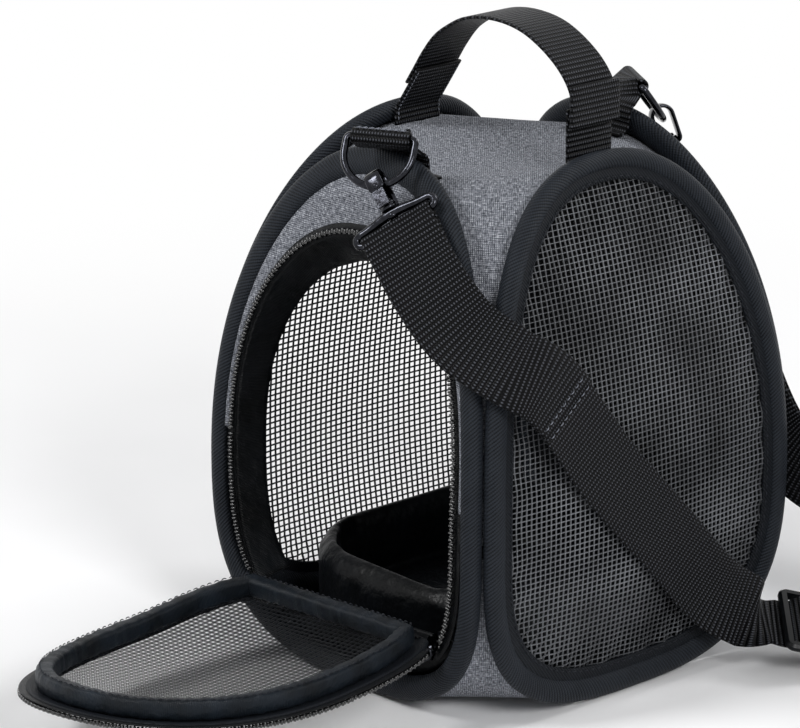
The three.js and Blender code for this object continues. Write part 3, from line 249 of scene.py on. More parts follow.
# each twill's pale colour is its painted highlight on the rib crests, its dark colour the painted shade in
# the grooves
rollTwill = makeTwill("twillBinding", "#050608", "#262a30", 1.3)
bandTwill = makeTwill("flatTwillTape", "#050608", "#1b1e23", 1.1)
satin = makeSatin("satinLining", "#040506", "#0d0f12")
lipSatin = makeSatin("satinBinding", "#0a0d10", "#1f262e")
# one net painted twice: pale, lit threads for the right window, and dark threads in painted shade for the
# left window and the door
net = makeNet("litPolyesterNet", "#050607", "#a3a6ac", (2.55, 2.3), (0.52, 0.46))
shadeNet = makeNet("shadedNet", "#08090a", "#2a2c30", (3.0, 2.5), (0.7, 0.58))
webbingCloth = makeWebbing()
nylon = makeNylon()
gunmetal = makeGunmetal()
acetal = makeAcetal("blackAcetal", "#08090a", "#121316", 0.3)
boardStock = makeAcetal("polypropyleneBoard", "#151619", "#1f2024", 0.7)
darkThread = makeThread("darkThread", "#121317", "#30333a")
paleThread = makeThread("paleThread", "#54575f", "#868a94")
print("materials made")

# Meshes


# A mesh with its weave map, normals out and no doubles
def newPiece(name, points, faces, corners, material):
    mesh = bpy.data.meshes.new(name)
    mesh.from_pydata([tuple(p) for p in points], [], faces)
    if corners is not None:
        layer = mesh.uv_layers.new(name="weave")
        layer.data.foreach_set("uv", np.asarray(corners, float).ravel())
    work = bmesh.new()
    work.from_mesh(mesh)
    bmesh.ops.remove_doubles(work, verts=work.verts, dist=2e-6)
    bmesh.ops.dissolve_degenerate(work, edges=work.edges, dist=1e-6)
    bmesh.ops.recalc_face_normals(work, faces=work.faces)
    work.to_mesh(mesh)
    work.free()
    mesh.shade_smooth()
    mesh.materials.append(material)
    made = bpy.data.objects.new(name, mesh)
    bpy.context.scene.collection.objects.link(made)
    return made


def runAlong(points):  # running length at each point of a line
    return np.concatenate([[0], np.cumsum(np.linalg.norm(np.diff(points, axis=0), axis=1))])


def lengthsAlong(rows):  # mean running length over a grid's rows
    steps = np.linalg.norm(np.diff(rows, axis=0), axis=2).mean(axis=1)
    return np.concatenate([[0], np.cumsum(steps)])


def gridData(rows, loopAlong=False, loopAcross=False, capEnds=False, uv=None, start=0):
    rows = np.asarray(rows, float)
    count, width = rows.shape[:2]
    closed = rows
    if loopAlong:
        closed = np.concatenate([closed, closed[:1]], axis=0)
    if loopAcross:
        closed = np.concatenate([closed, closed[:, :1]], axis=1)
    if uv is None:
        u = lengthsAlong(closed)
        v = lengthsAlong(np.swapaxes(closed, 0, 1))
        uv = np.stack(np.meshgrid(u, v, indexing="ij"), axis=2)
    faces, corners = [], []
    for i in range(closed.shape[0] - 1):
        for j in range(closed.shape[1] - 1):
            quad = [(i, j), (i, j + 1), (i + 1, j + 1), (i + 1, j)]
            faces.append([start + (a % count) * width + b % width for a, b in quad])
            corners += [uv[a, b] for a, b in quad]
    if capEnds:
        for i in (0, count - 1):
            faces.append([start + i * width + j for j in range(width)])
            corners += [uv[i, j] for j in range(width)]
    return rows.reshape(-1, 3), faces, corners


def gridPiece(name, rows, material, **options):
    points, faces, corners = gridData(rows, **options)
    return newPiece(name, points, faces, corners, material)


def manyGrids(name, grids, material, **options):  # several grids in one piece
    points, faces, corners = [], [], []
    for rows in grids:
        somePoints, someFaces, someCorners = gridData(rows, start=len(points), **options)
        points += list(somePoints)
        faces += someFaces
        corners += someCorners
    return newPiece(name, points, faces, corners, material)


def dress(piece, body, slot, *nodes):  # the piece rides on a body and stands for the nodes
    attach(piece, body)
    if nodes:
        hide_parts(*nodes)
    return piece


def thicken(piece, thickness, offset=-1.0):
    made = piece.modifiers.new("thickness", "SOLIDIFY")
    made.thickness = thickness
    made.offset = offset
    made.use_even_offset = True
    return piece


def sewCloth(piece, thickness, offset, body, slot, node, flat, *under):  # a thick cut sheet on a body
    thicken(piece, thickness, offset)
    dress(piece, body, slot, *node)


def tube(points, radius, sides=12, loop=False, wide=None):  # rows of a round wire along points
    points = np.asarray(points, float)
    count = len(points)
    radii = np.broadcast_to(np.asarray(radius, float), (count,))
    rows, side = [], None
    for i in range(count):
        after = points[(i + 1) % count] if loop or i + 1 < count else points[i]
        before = points[i - 1] if loop or i > 0 else points[i]
        along = (after - before) / np.linalg.norm(after - before)
        if side is None:
            side = np.cross(along, [0.3, 0.5, 0.8]) if wide is None else np.asarray(wide, float)
        side = side - along * side.dot(along)
        side = side / np.linalg.norm(side)
        other = np.cross(along, side)
        turns = np.arange(sides) * fullTurn / sides
        rows.append(points[i] + radii[i] * (np.outer(np.cos(turns), side) + np.outer(np.sin(turns), other)))
    return np.array(rows)


def unit(vector):
    vector = np.asarray(vector, float)
    return vector / np.linalg.norm(vector)


# Panels, in the same shape as the frame's

bag = dict(
    height=0.226, sideReach=0.085, frontReach=0.0875, widest=0.0795,
    topLean=0.028, bottomLean=0.0045, topRoundness=2.28, bottomRoundness=2.92, seamGap=0.0003,
)
rolls = dict(
    width=0.0095, depth=0.008, frontTop=0.013, sideTop=0.0085, bottom=0.0115, sideGap=0.0006,
    steps=190, sides=20, puckerPitch=0.0075, pucker=0.02, under=0.0035,
)
setback = math.hypot(rolls["width"] / 2, rolls["depth"] / 2) + rolls["sideGap"] / math.sqrt(2)
frontHalf = bag["sideReach"] - setback + rolls["width"] / 2
sideHalf = bag["frontReach"] - setback + rolls["width"] / 2
panels = {
    "front": dict(reach=bag["frontReach"], half=frontHalf, top=rolls["frontTop"], turn=0),
    "right": dict(reach=bag["sideReach"], half=sideHalf, top=rolls["sideTop"], turn=quarter),
    "back": dict(reach=bag["frontReach"], half=frontHalf, top=rolls["frontTop"], turn=math.pi),
    "left": dict(reach=bag["sideReach"], half=sideHalf, top=rolls["sideTop"], turn=-quarter),
}
frontPanel = panels["front"]


def panelDistance(panel, z):
    away = z - bag["widest"]
    if away > 0:
        return panel["reach"] - bag["topLean"] * (away / (bag["height"] - bag["widest"])) ** 2
    return panel["reach"] - bag["bottomLean"] * (away / bag["widest"]) ** 2


def panelNormal(panel, z):
    step = bag["height"] / 720
    slope = (panelDistance(panel, z + step) - panelDistance(panel, z - step)) / (2 * step)
    return unit([0, -1, -slope])


def onPanel(panel, x, z, outward):
    return np.array([x, -panelDistance(panel, z), z]) + panelNormal(panel, z) * outward


def turned(points, panel):
    cos, sin = math.cos(panel["turn"]), math.sin(panel["turn"])
    return np.asarray(points, float) @ np.array([[cos, sin, 0], [-sin, cos, 0], [0, 0, 1]])


def eggPoint(shape, angle, inset):
    rise, run = math.sin(angle), math.cos(angle)
    roundness = shape["topRoundness"] if rise >= 0 else shape["bottomRoundness"]
    height = (shape["top"] - shape["widest"] if rise >= 0 else shape["widest"] - shape["bottom"]) - inset
    x = math.copysign(abs(run) ** (2 / roundness), run) * (shape["half"] - inset)
    return x, shape["widest"] + math.copysign(abs(rise) ** (2 / roundness), rise) * height


def panelEgg(panel):
    return dict(
        half=panel["half"], top=bag["height"], bottom=0, widest=bag["widest"],
        topRoundness=bag["topRoundness"], bottomRoundness=bag["bottomRoundness"],
    )


def evenAngles(outline, start, end, count):
    angles = np.linspace(start, end, 721)
    places = np.array([outline(a) for a in angles])
    lengths = np.concatenate([[0], np.cumsum(np.hypot(*np.diff(places, axis=0).T))])
    return np.interp(np.linspace(0, lengths[-1], count), lengths, angles)


def rollHalf(panel, angle):
    upper, lower = max(math.sin(angle), 0) ** 2, max(-math.sin(angle), 0) ** 2
    plain = rolls["width"]
    return (plain + upper * (panel["top"] - plain) + lower * (rolls["bottom"] - plain)) / 2


def rollFrame(panel, angle):
    def centreAt(a):
        x, z = eggPoint(panelEgg(panel), a, rollHalf(panel, a))
        return onPanel(panel, x, z, 0)
    centre = centreAt(angle)
    step = fullTurn / 720
    along = unit(centreAt(angle + step) - centreAt(angle - step))
    outward = panelNormal(panel, centre[2])
    return centre, outward, unit(np.cross(along, outward))


def rollRows(panel):
    def middleLine(angle):
        return eggPoint(panelEgg(panel), angle, rollHalf(panel, angle))
    angles = evenAngles(middleLine, -quarter, 3 * quarter, rolls["steps"] + 1)
    rows, run, last = [], 0, None
    for angle in angles[:-1]:
        centre, outward, away = rollFrame(panel, angle)
        run += 0 if last is None else np.linalg.norm(centre - last)
        last = centre
        half = rollHalf(panel, angle)
        phase = fullTurn * run / rolls["puckerPitch"]
        row = []
        for k in range(rolls["sides"]):
            turn = fullTurn * k / rolls["sides"]
            seam = max(-math.cos(turn), 0) ** 2  # the puckers gather at the seam, on the panel's side
            shrink = 1 - rolls["pucker"] * seam * (1 + math.sin(phase + 1.3 * math.sin(phase * 0.31)))
            flat = 0.94 + 0.06 * abs(math.sin(2 * turn))
            row.append(centre + away * math.cos(turn) * half * shrink * flat
                       + outward * math.sin(turn) * rolls["depth"] / 2 * shrink)
        rows.append(row)
    return turned(np.array(rows), panel)


for side, panel in panels.items():
    piece = gridPiece(f"{side}Roll", rollRows(panel), rollTwill, loopAlong=True, loopAcross=True)
    dress(piece, "shell", "twill_cloth", f"{side}_rim")
print("rolls made")


# A row of sewn dashes, in mm
def stitchRow(name, path, faceOut, material, body, slot, length=2.6, gap=1.3, girth=0.55):
    path, faceOut = np.asarray(path, float), np.asarray(faceOut, float)
    lengths = runAlong(path)
    pitch = (length + gap) * mm
    grids = []
    for k in range(int(lengths[-1] / pitch)):
        ends = [k * pitch + gap * mm / 2, k * pitch + gap * mm / 2 + length * mm]
        places = np.linspace(*ends, 5)
        line = np.stack([np.interp(places, lengths, path[:, i]) for i in range(3)], axis=1)
        out = unit([np.interp(places[2], lengths, faceOut[:, i]) for i in range(3)])
        arch = np.array([-0.5, 0.25, 0.4, 0.25, -0.5]) * girth * mm
        line = line + np.outer(arch, out)
        grids.append(tube(line, np.array([0.5, 0.9, 1.0, 0.9, 0.5]) * girth * mm / 2, sides=6, wide=out))
    piece = manyGrids(name, grids, material, loopAcross=True, capEnds=True)
    return dress(piece, body, slot)


# Sheets inside a roll


def insideRoll(panel, inset):
    return lambda angle: eggPoint(panelEgg(panel), angle, 2 * rollHalf(panel, angle) + inset)


# Rows from an outer to an inner outline; lift takes (share inwards, angle, x, z) and gives a rise
def sheetRows(panel, outer, inner, rows, steps, lift):
    angles = evenAngles(outer, -quarter, 3 * quarter, steps + 1)[:-1]
    middle = [0, getattr(outer, "middle", bag["widest"])]
    places, flat = [], []
    for r in range(rows + 1):
        share = r / rows
        row, flatRow = [], []
        for angle in angles:
            start = np.array(outer(angle))
            end = np.array(inner(angle) if inner else middle)
            x, z = start + (end - start) * share
            row.append(onPanel(panel, x, z, lift(share, angle, x, z)))
            flatRow.append((x, z))
        places.append(row)
        flat.append(flatRow + flatRow[:1])
    return np.array(places), np.array(flat)


window = dict(bindingWidth=0.0035, bulge=0.003, thickness=0.0005, cloth=0.0016, ripple=0.0007, edgeRipples=46)


def netLift(bulge, ripple):
    def lift(share, angle, x, z):
        wave = math.sin(window["edgeRipples"] * angle + 2 * math.sin(5 * angle)) * math.exp(-share * 9)
        slack = 0.0009 * math.sin(41 * x + 1.1) * math.sin(37 * z) * math.sin(quarter * share)
        return bulge * math.sin(quarter * share) + ripple * wave + slack
    return lift


for side in ("right", "left"):
    panel = panels[side]
    cloth = window["cloth"]
    edge = insideRoll(panel, -rolls["under"])
    inner = insideRoll(panel, bag["seamGap"] + window["bindingWidth"])
    rows, flat = sheetRows(panel, edge, inner, 4, 190,
                           lambda s, a, x, z: 0.0004 + 0.0005 * math.sin(math.pi * s))
    binding = gridPiece(f"{side}WindowBinding", turned(rows, panel), bandTwill, loopAcross=True, uv=flat)
    sewCloth(binding, cloth, 0, "shell", "twill_cloth",
             [f"{side}_window_binding"], (0.01, 0.6), f"{side}Roll")
    rows, flat = sheetRows(panel, inner, None, 26, 190, netLift(window["bulge"], window["ripple"]))
    # the right window takes the net painted lit, the left one the net painted in shade
    finish = net if side == "right" else shadeNet
    mesh = gridPiece(f"{side}WindowNet", turned(rows, panel), finish, loopAcross=True, uv=flat)
    sewCloth(mesh, window["thickness"], 0, "shell", "mesh_net",
             [f"{side}_window_mesh"], (0.15, 0.2), f"{side}WindowBinding")
    seam = insideRoll(panel, bag["seamGap"] + window["bindingWidth"] * 0.72)
    angles = evenAngles(seam, -quarter, 3 * quarter, 300)
    line = turned([onPanel(panel, *seam(a), 0.0017) for a in angles], panel)
    out = turned([panelNormal(panel, seam(a)[1]) for a in angles], panel)
    stitchRow(f"{side}WindowStitches", line, out, darkThread, "shell", "twill_cloth",
              length=2.4, gap=1.2, girth=0.5)

panel = panels["back"]


def backLift(share, angle, x, z):
    return 0.0008 + 0.0012 * math.sin(quarter * share) + 0.0003 * math.sin(90 * x) * math.sin(70 * z)


rows, flat = sheetRows(panel, insideRoll(panel, -rolls["under"]), None, 20, 120, backLift)
backCloth = gridPiece("backCloth", turned(rows, panel), heather, loopAcross=True, uv=flat)
sewCloth(backCloth, window["cloth"], 0, "shell", "heather_cloth", ["back_panel"], (0.16, 0.22), "backRoll")
rows = turned(rows - panelNormal(panel, 0.1) * 0.0022, panel)
backLining = gridPiece("backLining", rows, satin, loopAcross=True, uv=flat)
sewCloth(backLining, 0.0004, 0, "shell", "lining_cloth", [], (0.16, 0.22), "backCloth")
print("windows and back made")

# Gussets between the rolls

gusset = dict(
    tuck=math.radians(55), startAngle=math.radians(0.6), rows=40, columns=14, middleRows=16, cloth=0.0016,
)


def gussetEdge(panel, angle):
    centre, outward, away = rollFrame(panel, angle)
    half = rollHalf(panel, angle) + bag["seamGap"]
    back = rolls["depth"] / 2 + bag["seamGap"]
    lift = math.sin(angle)
    if lift >= 0:
        tuck = gusset["tuck"] * lift ** 2
        centre = centre - outward * back * math.cos(tuck) - away * half * math.sin(tuck)
    else:
        foot, footOut = rollFrame(panel, -quarter)[:2]
        footRise = foot[2] - footOut[2] * back
        centre = centre - outward * back
        centre[2] = max(centre[2] - footRise * lift ** 2, 0)
    return turned(centre, panel)


def gussetGrids(isTop, middle):
    sign = 1 if isTop else -1
    grids = []
    for first, second in (("front", "right"), ("right", "back"), ("back", "left"), ("left", "front")):
        angles = evenAngles(lambda a: eggPoint(panelEgg(panels[first]), a, rolls["width"] / 2),
                            sign * gusset["startAngle"], sign * quarter, gusset["rows"] + 1)
        rows = []
        for angle in angles:
            start, end = gussetEdge(panels[first], angle), gussetEdge(panels[second], math.pi - angle)
            shares = np.linspace(0, 1, gusset["columns"] + 1)[:, None]
            row = start + (end - start) * shares
            inwards = unit([-row[:, 0].mean(), -row[:, 1].mean(), 0])
            # the cloth sinks a little between the rolls
            rows.append(row + 0.0006 * abs(math.sin(angle)) * np.sin(math.pi * shares) * inwards)
        rim = rows[-1]
        for k in range(1, gusset["middleRows"] + 1):
            rows.append(rim + (middle - rim) * k / gusset["middleRows"])
        grids.append(np.array(rows))
    return grids


def cornerUv(grids):  # running lengths down each corner, carried on as planar lengths over the plateau
    flats, rim = [], gusset["rows"]
    for rows in grids:
        across = unit(rows[rim, -1] - rows[rim, 0])
        inwards = unit(rows[-1, 0] - rows[rim].mean(axis=0))
        middle = rows[:, rows.shape[1] // 2]
        down = runAlong(middle[:rim + 1])
        v = np.concatenate([np.broadcast_to(down[:, None], (rim + 1, rows.shape[1])),
                            down[-1] + (rows[rim + 1:] - middle[rim]) @ inwards])
        flats.append(np.stack([rows @ across, v], axis=2))
    return flats


def gussetPiece(name, grids, material):
    points, faces, corners = [], [], []
    for rows, uv in zip(grids, cornerUv(grids)):
        data = gridData(rows, uv=uv, start=len(points))
        points += list(data[0])
        faces += data[1]
        corners += data[2]
    return newPiece(name, points, faces, corners, material)


topEdge = gussetEdge(frontPanel, quarter)
topMiddle = np.array([0, 0, topEdge[2] - gusset["cloth"]])
topCloth = gussetPiece("topCloth", gussetGrids(True, topMiddle), heather)
baseCloth = gussetPiece("baseCloth", gussetGrids(False, np.zeros(3)), heather)


def nudge(piece, move):  # moves every vertex by a function of its place
    for vertex in piece.data.vertices:
        vertex.co = vertex.co + Vector(move(vertex.co, vertex.normal))
    piece.data.update()


def topWrinkle(co, normal):
    if co.z < 0.205 or math.hypot(co.x, co.y) > 0.062:
        return (0, 0, 0)
    wave = math.sin(95 * co.x + 60 * co.y) * math.sin(120 * co.y - 40 * co.x)
    crease = math.exp(-((co.y + 0.35 * co.x + 0.014) / 0.0045) ** 2)  # one soft fold from side to side
    fall = 1 - (math.hypot(co.x, co.y) / 0.062) ** 2
    return (0, 0, (0.0005 * (wave - 1) - 0.0012 * crease) * fall)


nudge(topCloth, topWrinkle)


def facing(piece, axis, forwards):  # turns an open cloth's faces the right way along an axis
    total = sum(face.normal[axis] * face.area for face in piece.data.polygons)
    if (total > 0) != forwards:
        piece.data.flip_normals()


facing(topCloth, 2, True)
facing(baseCloth, 2, False)


def liningOf(piece, name, depth):
    made = bpy.data.objects.new(name, piece.data.copy())
    bpy.context.scene.collection.objects.link(made)
    middle = Vector((0, 0, bag["height"] / 2))
    nudge(made, lambda co, normal: (middle - co).normalized() * depth)
    made.data.materials[0] = satin
    thicken(made, 0.0004).modifiers["thickness"].use_even_offset = False
    return dress(made, "shell", "lining_cloth")


topLining = liningOf(topCloth, "topLining", 0.0024)
baseLining = liningOf(baseCloth, "baseLining", 0.0019)
for piece, node in ((topCloth, "top_panel"), (baseCloth, "base_panel")):
    thicken(piece, gusset["cloth"]).modifiers["thickness"].use_even_offset = False
    dress(piece, "shell", "heather_cloth", node)
print("gussets made")

# Front arch: crescent, sill, zip and facing

arch = dict(
    half=0.0678, top=0.1895, bottom=0.020, widest=0.095,
    topRoundness=bag["topRoundness"], bottomRoundness=3.6,
)
hinge = dict(height=0.033, tilt=4 * math.pi / 180, standOff=0.0003, open=95 * math.pi / 180)
zipper = dict(
    coilWidth=0.0028, coilDepth=0.002, coilRise=0.0023, coilGap=0.0003,
    tapeThickness=0.0006, tapeWidth=0.0018, tapeUnder=0.0026,
    frameStart=-0.007, doorStart=0.011, end=0.006, toothPitch=0.0015, toothStagger=0.00025,
)


def hingeLine(x):
    return hinge["height"] + x * math.tan(hinge["tilt"])


def archOutline(inset):
    def outline(angle):
        x, z = eggPoint(arch, angle, inset)
        return x, max(z, hingeLine(x) + max(inset, bag["seamGap"]))
    outline.middle = arch["widest"]
    return outline


def border(low, high, holds):  # where a test that holds at the low end stops holding, from both sides
    for _ in range(40):
        middle = (low + high) / 2
        if holds(middle):
            low = middle
        else:
            high = middle
    return low, high


def archAngleAbove(height, inset, left=False):
    def isBelow(angle):
        x, z = eggPoint(arch, angle, inset)
        return z - hingeLine(x) < height
    ends = (math.pi + quarter, math.pi) if left else (-quarter, 0)
    return border(*ends, isBelow)[1]


def archFrames(inset, rise, start, count):
    angles = evenAngles(lambda a: eggPoint(arch, a, inset), archAngleAbove(start, inset),
                        archAngleAbove(zipper["end"], inset, True), count)
    step = fullTurn / 720

    def centreAt(angle):
        x, z = eggPoint(arch, angle, inset)
        return onPanel(frontPanel, x, z, rise)
    frames = []
    for angle in angles:
        centre = centreAt(angle)
        along = unit(centreAt(angle + step) - centreAt(angle - step))
        outward = panelNormal(frontPanel, centre[2])
        frames.append((centre, along, outward, unit(np.cross(along, outward))))
    return frames


def coilPiece(name, inset, start):  # one rounded bar for each tooth, every other one set over
    frames = archFrames(inset, zipper["coilRise"], start, 400)
    centres = np.array([f[0] for f in frames])
    length = np.linalg.norm(np.diff(centres, axis=0), axis=1).sum()
    count = int(length / zipper["toothPitch"])
    frames = archFrames(inset, zipper["coilRise"], start, count)
    reach = zipper["coilWidth"] / 2 - zipper["toothStagger"]
    grids = []
    for k, (centre, along, outward, away) in enumerate(frames):
        shift = zipper["toothStagger"] * (1 if k % 2 else -1)
        rows = []
        for share, size in ((-1, 0.45), (-0.72, 0.95), (0, 1), (0.72, 0.95), (1, 0.45)):
            turns = np.arange(6) * fullTurn / 6
            place = centre + away * (shift + share * reach)
            rows.append(place + size * (np.outer(np.cos(turns) * zipper["toothPitch"] * 0.43, along)
                                        + np.outer(np.sin(turns) * zipper["coilDepth"] / 2, outward)))
        grids.append(np.array(rows))
    return manyGrids(name, grids, nylon, loopAcross=True, capEnds=True)


# Woven tape under the coil, running on beneath the cloth at its side
def tapePiece(name, inset, start, material, side):
    rise = zipper["coilRise"] - zipper["coilDepth"] / 2 - bag["seamGap"] - zipper["tapeThickness"] / 2
    rows = []
    for centre, _, outward, away in archFrames(inset, rise, start, 160):
        half, deep = zipper["tapeWidth"] / 2 + zipper["tapeUnder"] / 2, zipper["tapeThickness"] / 2
        centre = centre + away * side * zipper["tapeUnder"] / 2
        rows.append([centre + away * a * half + outward * b * deep for a, b in
                     ((-1, -1), (0, -1), (1, -1), (1.1, 0), (1, 1), (0, 1), (-1, 1), (-1.1, 0))])
    return gridPiece(name, np.array(rows), material, loopAcross=True, capEnds=True)


coilInset = zipper["coilWidth"] / 2 + zipper["coilGap"] / 2
dress(coilPiece("frameCoil", -coilInset, zipper["frameStart"]), "shell", "zip_nylon", "frame_zip_coil")
frameTape = tapePiece("frameTape", -coilInset, zipper["frameStart"], satin, 1)
dress(frameTape, "shell", "lining_cloth", "frame_zip_tape")


def panelReach(direction, inset):  # from the arch's middle to the inside of the front roll
    shape, roll = panelEgg(frontPanel), rollHalf(frontPanel, direction) * 2 + inset

    def isInside(reach):
        run = abs(reach * math.cos(direction)) / (shape["half"] - roll)
        rise = abs(arch["widest"] + reach * math.sin(direction) - bag["widest"])
        rise /= shape["top"] - bag["widest"] - roll
        return run ** bag["topRoundness"] + rise ** bag["topRoundness"] < 1
    return border(0, bag["height"], isInside)[0]


def archReach(direction, inset):
    run = abs(math.cos(direction)) / (arch["half"] - inset)
    rise = abs(math.sin(direction)) / (arch["top"] - arch["widest"] - inset)
    return (run ** bag["topRoundness"] + rise ** bag["topRoundness"]) ** (-1 / bag["topRoundness"])


coilEdge = -(zipper["coilWidth"] + zipper["coilGap"] / 2 + bag["seamGap"])
start = 0
while panelReach(start, bag["seamGap"]) - archReach(start, coilEdge) < window["cloth"]:
    start += quarter / 720
rows, flat = [], []
for r in range(9):
    row, flatRow = [], []
    for direction in np.linspace(start, math.pi - start, 121):
        near, far = panelReach(direction, -rolls["under"]), archReach(direction, coilEdge)
        reach = near + (far - near) * r / 8
        x, z = reach * math.cos(direction), arch["widest"] + reach * math.sin(direction)
        puff = 0.0009 * math.sin(math.pi * r / 8)
        row.append(onPanel(frontPanel, x, z, window["cloth"] / 2 + puff))
        flatRow.append((x, z))
    rows.append(row)
    flat.append(flatRow)
frontCloth = gridPiece("frontCloth", np.array(rows), heather, uv=np.array(flat))
facing(frontCloth, 1, False)
sewCloth(frontCloth, window["cloth"], -1, "shell", "heather_cloth",
         ["front_panel"], (0.13, 0.04), "frontRoll")


def sillRows(count, rowCount):
    outline = insideRoll(frontPanel, bag["seamGap"])

    def top(x):
        return hingeLine(x) - bag["seamGap"]

    def reachOf(side):
        def isTall(turn):
            x, z = outline(-quarter + side * turn)
            return top(x) - z > window["cloth"]
        return border(0, quarter, isTall)[0]
    angles = evenAngles(outline, -quarter - reachOf(-1), -quarter + reachOf(1), count + 1)
    rows, flat = [], []
    for r in range(rowCount + 1):
        edge = [outline(a) for a in angles]
        places = [(x, z + (top(x) - z) * r / rowCount) for x, z in edge]
        fold = 0.0005 * math.sin(math.pi * r / rowCount)
        rows.append([onPanel(frontPanel, x, z, -0.0017 + fold * math.sin(70 * x) ** 2) for x, z in places])
        flat.append(places)
    return np.array(rows), np.array(flat)


rows, flat = sillRows(90, 8)
sill = gridPiece("frontSill", rows, satin, uv=flat)
facing(sill, 1, False)
sewCloth(sill, window["cloth"], -1, "shell", "lining_cloth", ["front_sill"], (0.13, 0.025), "frontRoll")

# Satin facing that turns in from the zip and covers the front roll's back
face = dict(
    depth=0.0145, start=-0.0012, turnIn=0.003, topTurnIn=0.0105, steps=170, rows=8,
    spacing=0.0024, pucker=0.0009, puckerPitch=0.011,
)
ends = [archAngleAbove(0.002, 0, left) for left in (False, True)]
angles = evenAngles(lambda a: eggPoint(arch, a, 0), *ends, face["steps"] + 1)
rows = []
for i, angle in enumerate(angles):
    row = []
    for r in range(face["rows"] + 1):
        share = r / face["rows"]
        turnIn = face["turnIn"] + (face["topTurnIn"] - face["turnIn"]) * max(math.sin(angle), 0) ** 2
        x, z = eggPoint(arch, angle, face["start"] + turnIn * share)
        run = fullTurn * i * face["spacing"] / face["puckerPitch"]
        wave = face["pucker"] * math.sin(run + 1.7 * math.sin(run * 0.37)) * math.sin(math.pi * share)
        row.append(onPanel(frontPanel, x, z, 0.0002 - face["depth"] * share + wave))
    rows.append(row)
frontFacing = gridPiece("frontFacing", np.array(rows), satin)
sewCloth(frontFacing, 0.0006, 0, "shell", "lining_cloth", [], (0.024, 0.46), "frameTape")
print("front made")

# Door, made closed and then laid open about its hinge

door = dict(
    bandWidth=0.009, rollWidth=0.008, rollDepth=0.009, rollInset=0.0072, sag=0.002, net=0.0005,
    pucker=0.1, puckerPitch=0.0065, lip=0.62,
)
hingeReach = panelDistance(frontPanel, hinge["height"]) + window["cloth"] / 2 + hinge["standOff"]
hingePoint = np.array([0, -hingeReach, hinge["height"]])
hingeAxis = Vector((math.cos(hinge["tilt"]), 0, math.sin(hinge["tilt"])))
opening = (Matrix.Translation(hingePoint) @ Matrix.Rotation(hinge["open"], 4, hingeAxis)
           @ Matrix.Translation(-Vector(hingePoint)))
openingArray = np.array(opening)


def opened(points):
    points = np.asarray(points, float)
    return points @ openingArray[:3, :3].T + openingArray[:3, 3]


edgeInset = zipper["coilGap"] / 2 + zipper["coilWidth"] + bag["seamGap"]
netInset = edgeInset + door["bandWidth"]
rollRise = -(door["rollDepth"] / 2 - 0.0004)  # the roll is sewn down on the band


def archSheet(outer, inner, rows, steps, lift):
    places, flat = sheetRows(frontPanel, outer, inner, rows, steps, lift)
    return opened(places), flat


rows, flat = archSheet(archOutline(edgeInset), archOutline(netInset), 4, 170,
                       lambda s, a, x, z: 0.0008 + 0.0003 * math.sin(math.pi * s))
doorBand = gridPiece("doorBand", rows, bandTwill, loopAcross=True, uv=flat)
sewCloth(doorBand, window["cloth"], 0, "door", "twill_cloth", ["door_band"], (0.013, 0.46), "doorTape")

rows, flat = archSheet(archOutline(netInset + bag["seamGap"]), None, 24, 170,
                       lambda s, a, x, z: 0.0005 + door["sag"] * math.sin(quarter * s)
                       + 0.0006 * math.sin(60 * x + 0.5) * math.sin(52 * z) * s)
doorNet = gridPiece("doorNet", rows, shadeNet, loopAcross=True, uv=flat)
sewCloth(doorNet, door["net"], 0, "door", "mesh_net", ["door_mesh"], (0.115, 0.14), "doorBand")

outline = archOutline(edgeInset + door["rollInset"])
angles = evenAngles(outline, -quarter, 3 * quarter, 171)[:-1]
centres = np.array([onPanel(frontPanel, *outline(a), rollRise) for a in angles])
rows, run = [], 0
for i, centre in enumerate(centres):
    after, before = centres[(i + 1) % len(centres)], centres[i - 1]
    outward = panelNormal(frontPanel, centre[2])
    away = unit(np.cross(unit(after - before), outward))
    run += np.linalg.norm(after - centre)
    phase = fullTurn * run / door["puckerPitch"]
    row = []
    for k in range(20):
        turn = fullTurn * k / 20
        wave = math.sin(phase + 1.4 * math.sin(phase * 0.43) + math.cos(turn))
        swell = (1 - door["pucker"] * (1 + wave) / 2) / 2
        wide, tall = (math.copysign(abs(f(turn)) ** door["lip"], f(turn)) for f in (math.cos, math.sin))
        row.append(centre + (away * wide * door["rollWidth"] + outward * tall * door["rollDepth"]) * swell)
    rows.append(row)
doorRoll = gridPiece("doorRoll", opened(rows), lipSatin, loopAlong=True, loopAcross=True)
dress(doorRoll, "door", "lining_cloth", "door_roll")


def openPiece(piece):
    piece.data.transform(opening)
    return piece


doorCoil = openPiece(coilPiece("doorCoil", coilInset, zipper["doorStart"]))
dress(doorCoil, "door", "zip_nylon", "door_zip_coil")
doorTape = openPiece(tapePiece("doorTape", coilInset, zipper["doorStart"], satin, -1))
dress(doorTape, "door", "lining_cloth", "door_zip_tape")
seam = archOutline(edgeInset + 0.0022)
angles = evenAngles(seam, archAngleAbove(0.006, edgeInset), archAngleAbove(0.006, edgeInset, True), 260)
line = opened([onPanel(frontPanel, *seam(a), 0.0018) for a in angles])
out = np.array([openingArray[:3, :3] @ panelNormal(frontPanel, seam(a)[1]) for a in angles])
stitchRow("doorStitches", line, out, darkThread, "door", "twill_cloth", length=2.4, gap=1.2, girth=0.5)
seam = archOutline(edgeInset + door["rollInset"] - door["rollWidth"] * 0.3)
angles = evenAngles(seam, -quarter, 3 * quarter, 300)
line = opened([onPanel(frontPanel, *seam(a), rollRise - door["rollDepth"] / 2 + 0.0002) for a in angles])
out = np.array([-openingArray[:3, :3] @ panelNormal(frontPanel, seam(a)[1]) for a in angles])
stitchRow("doorRollStitches", line, out, darkThread, "door", "lining_cloth", length=2.2, gap=1.2, girth=0.5)
print("door made")

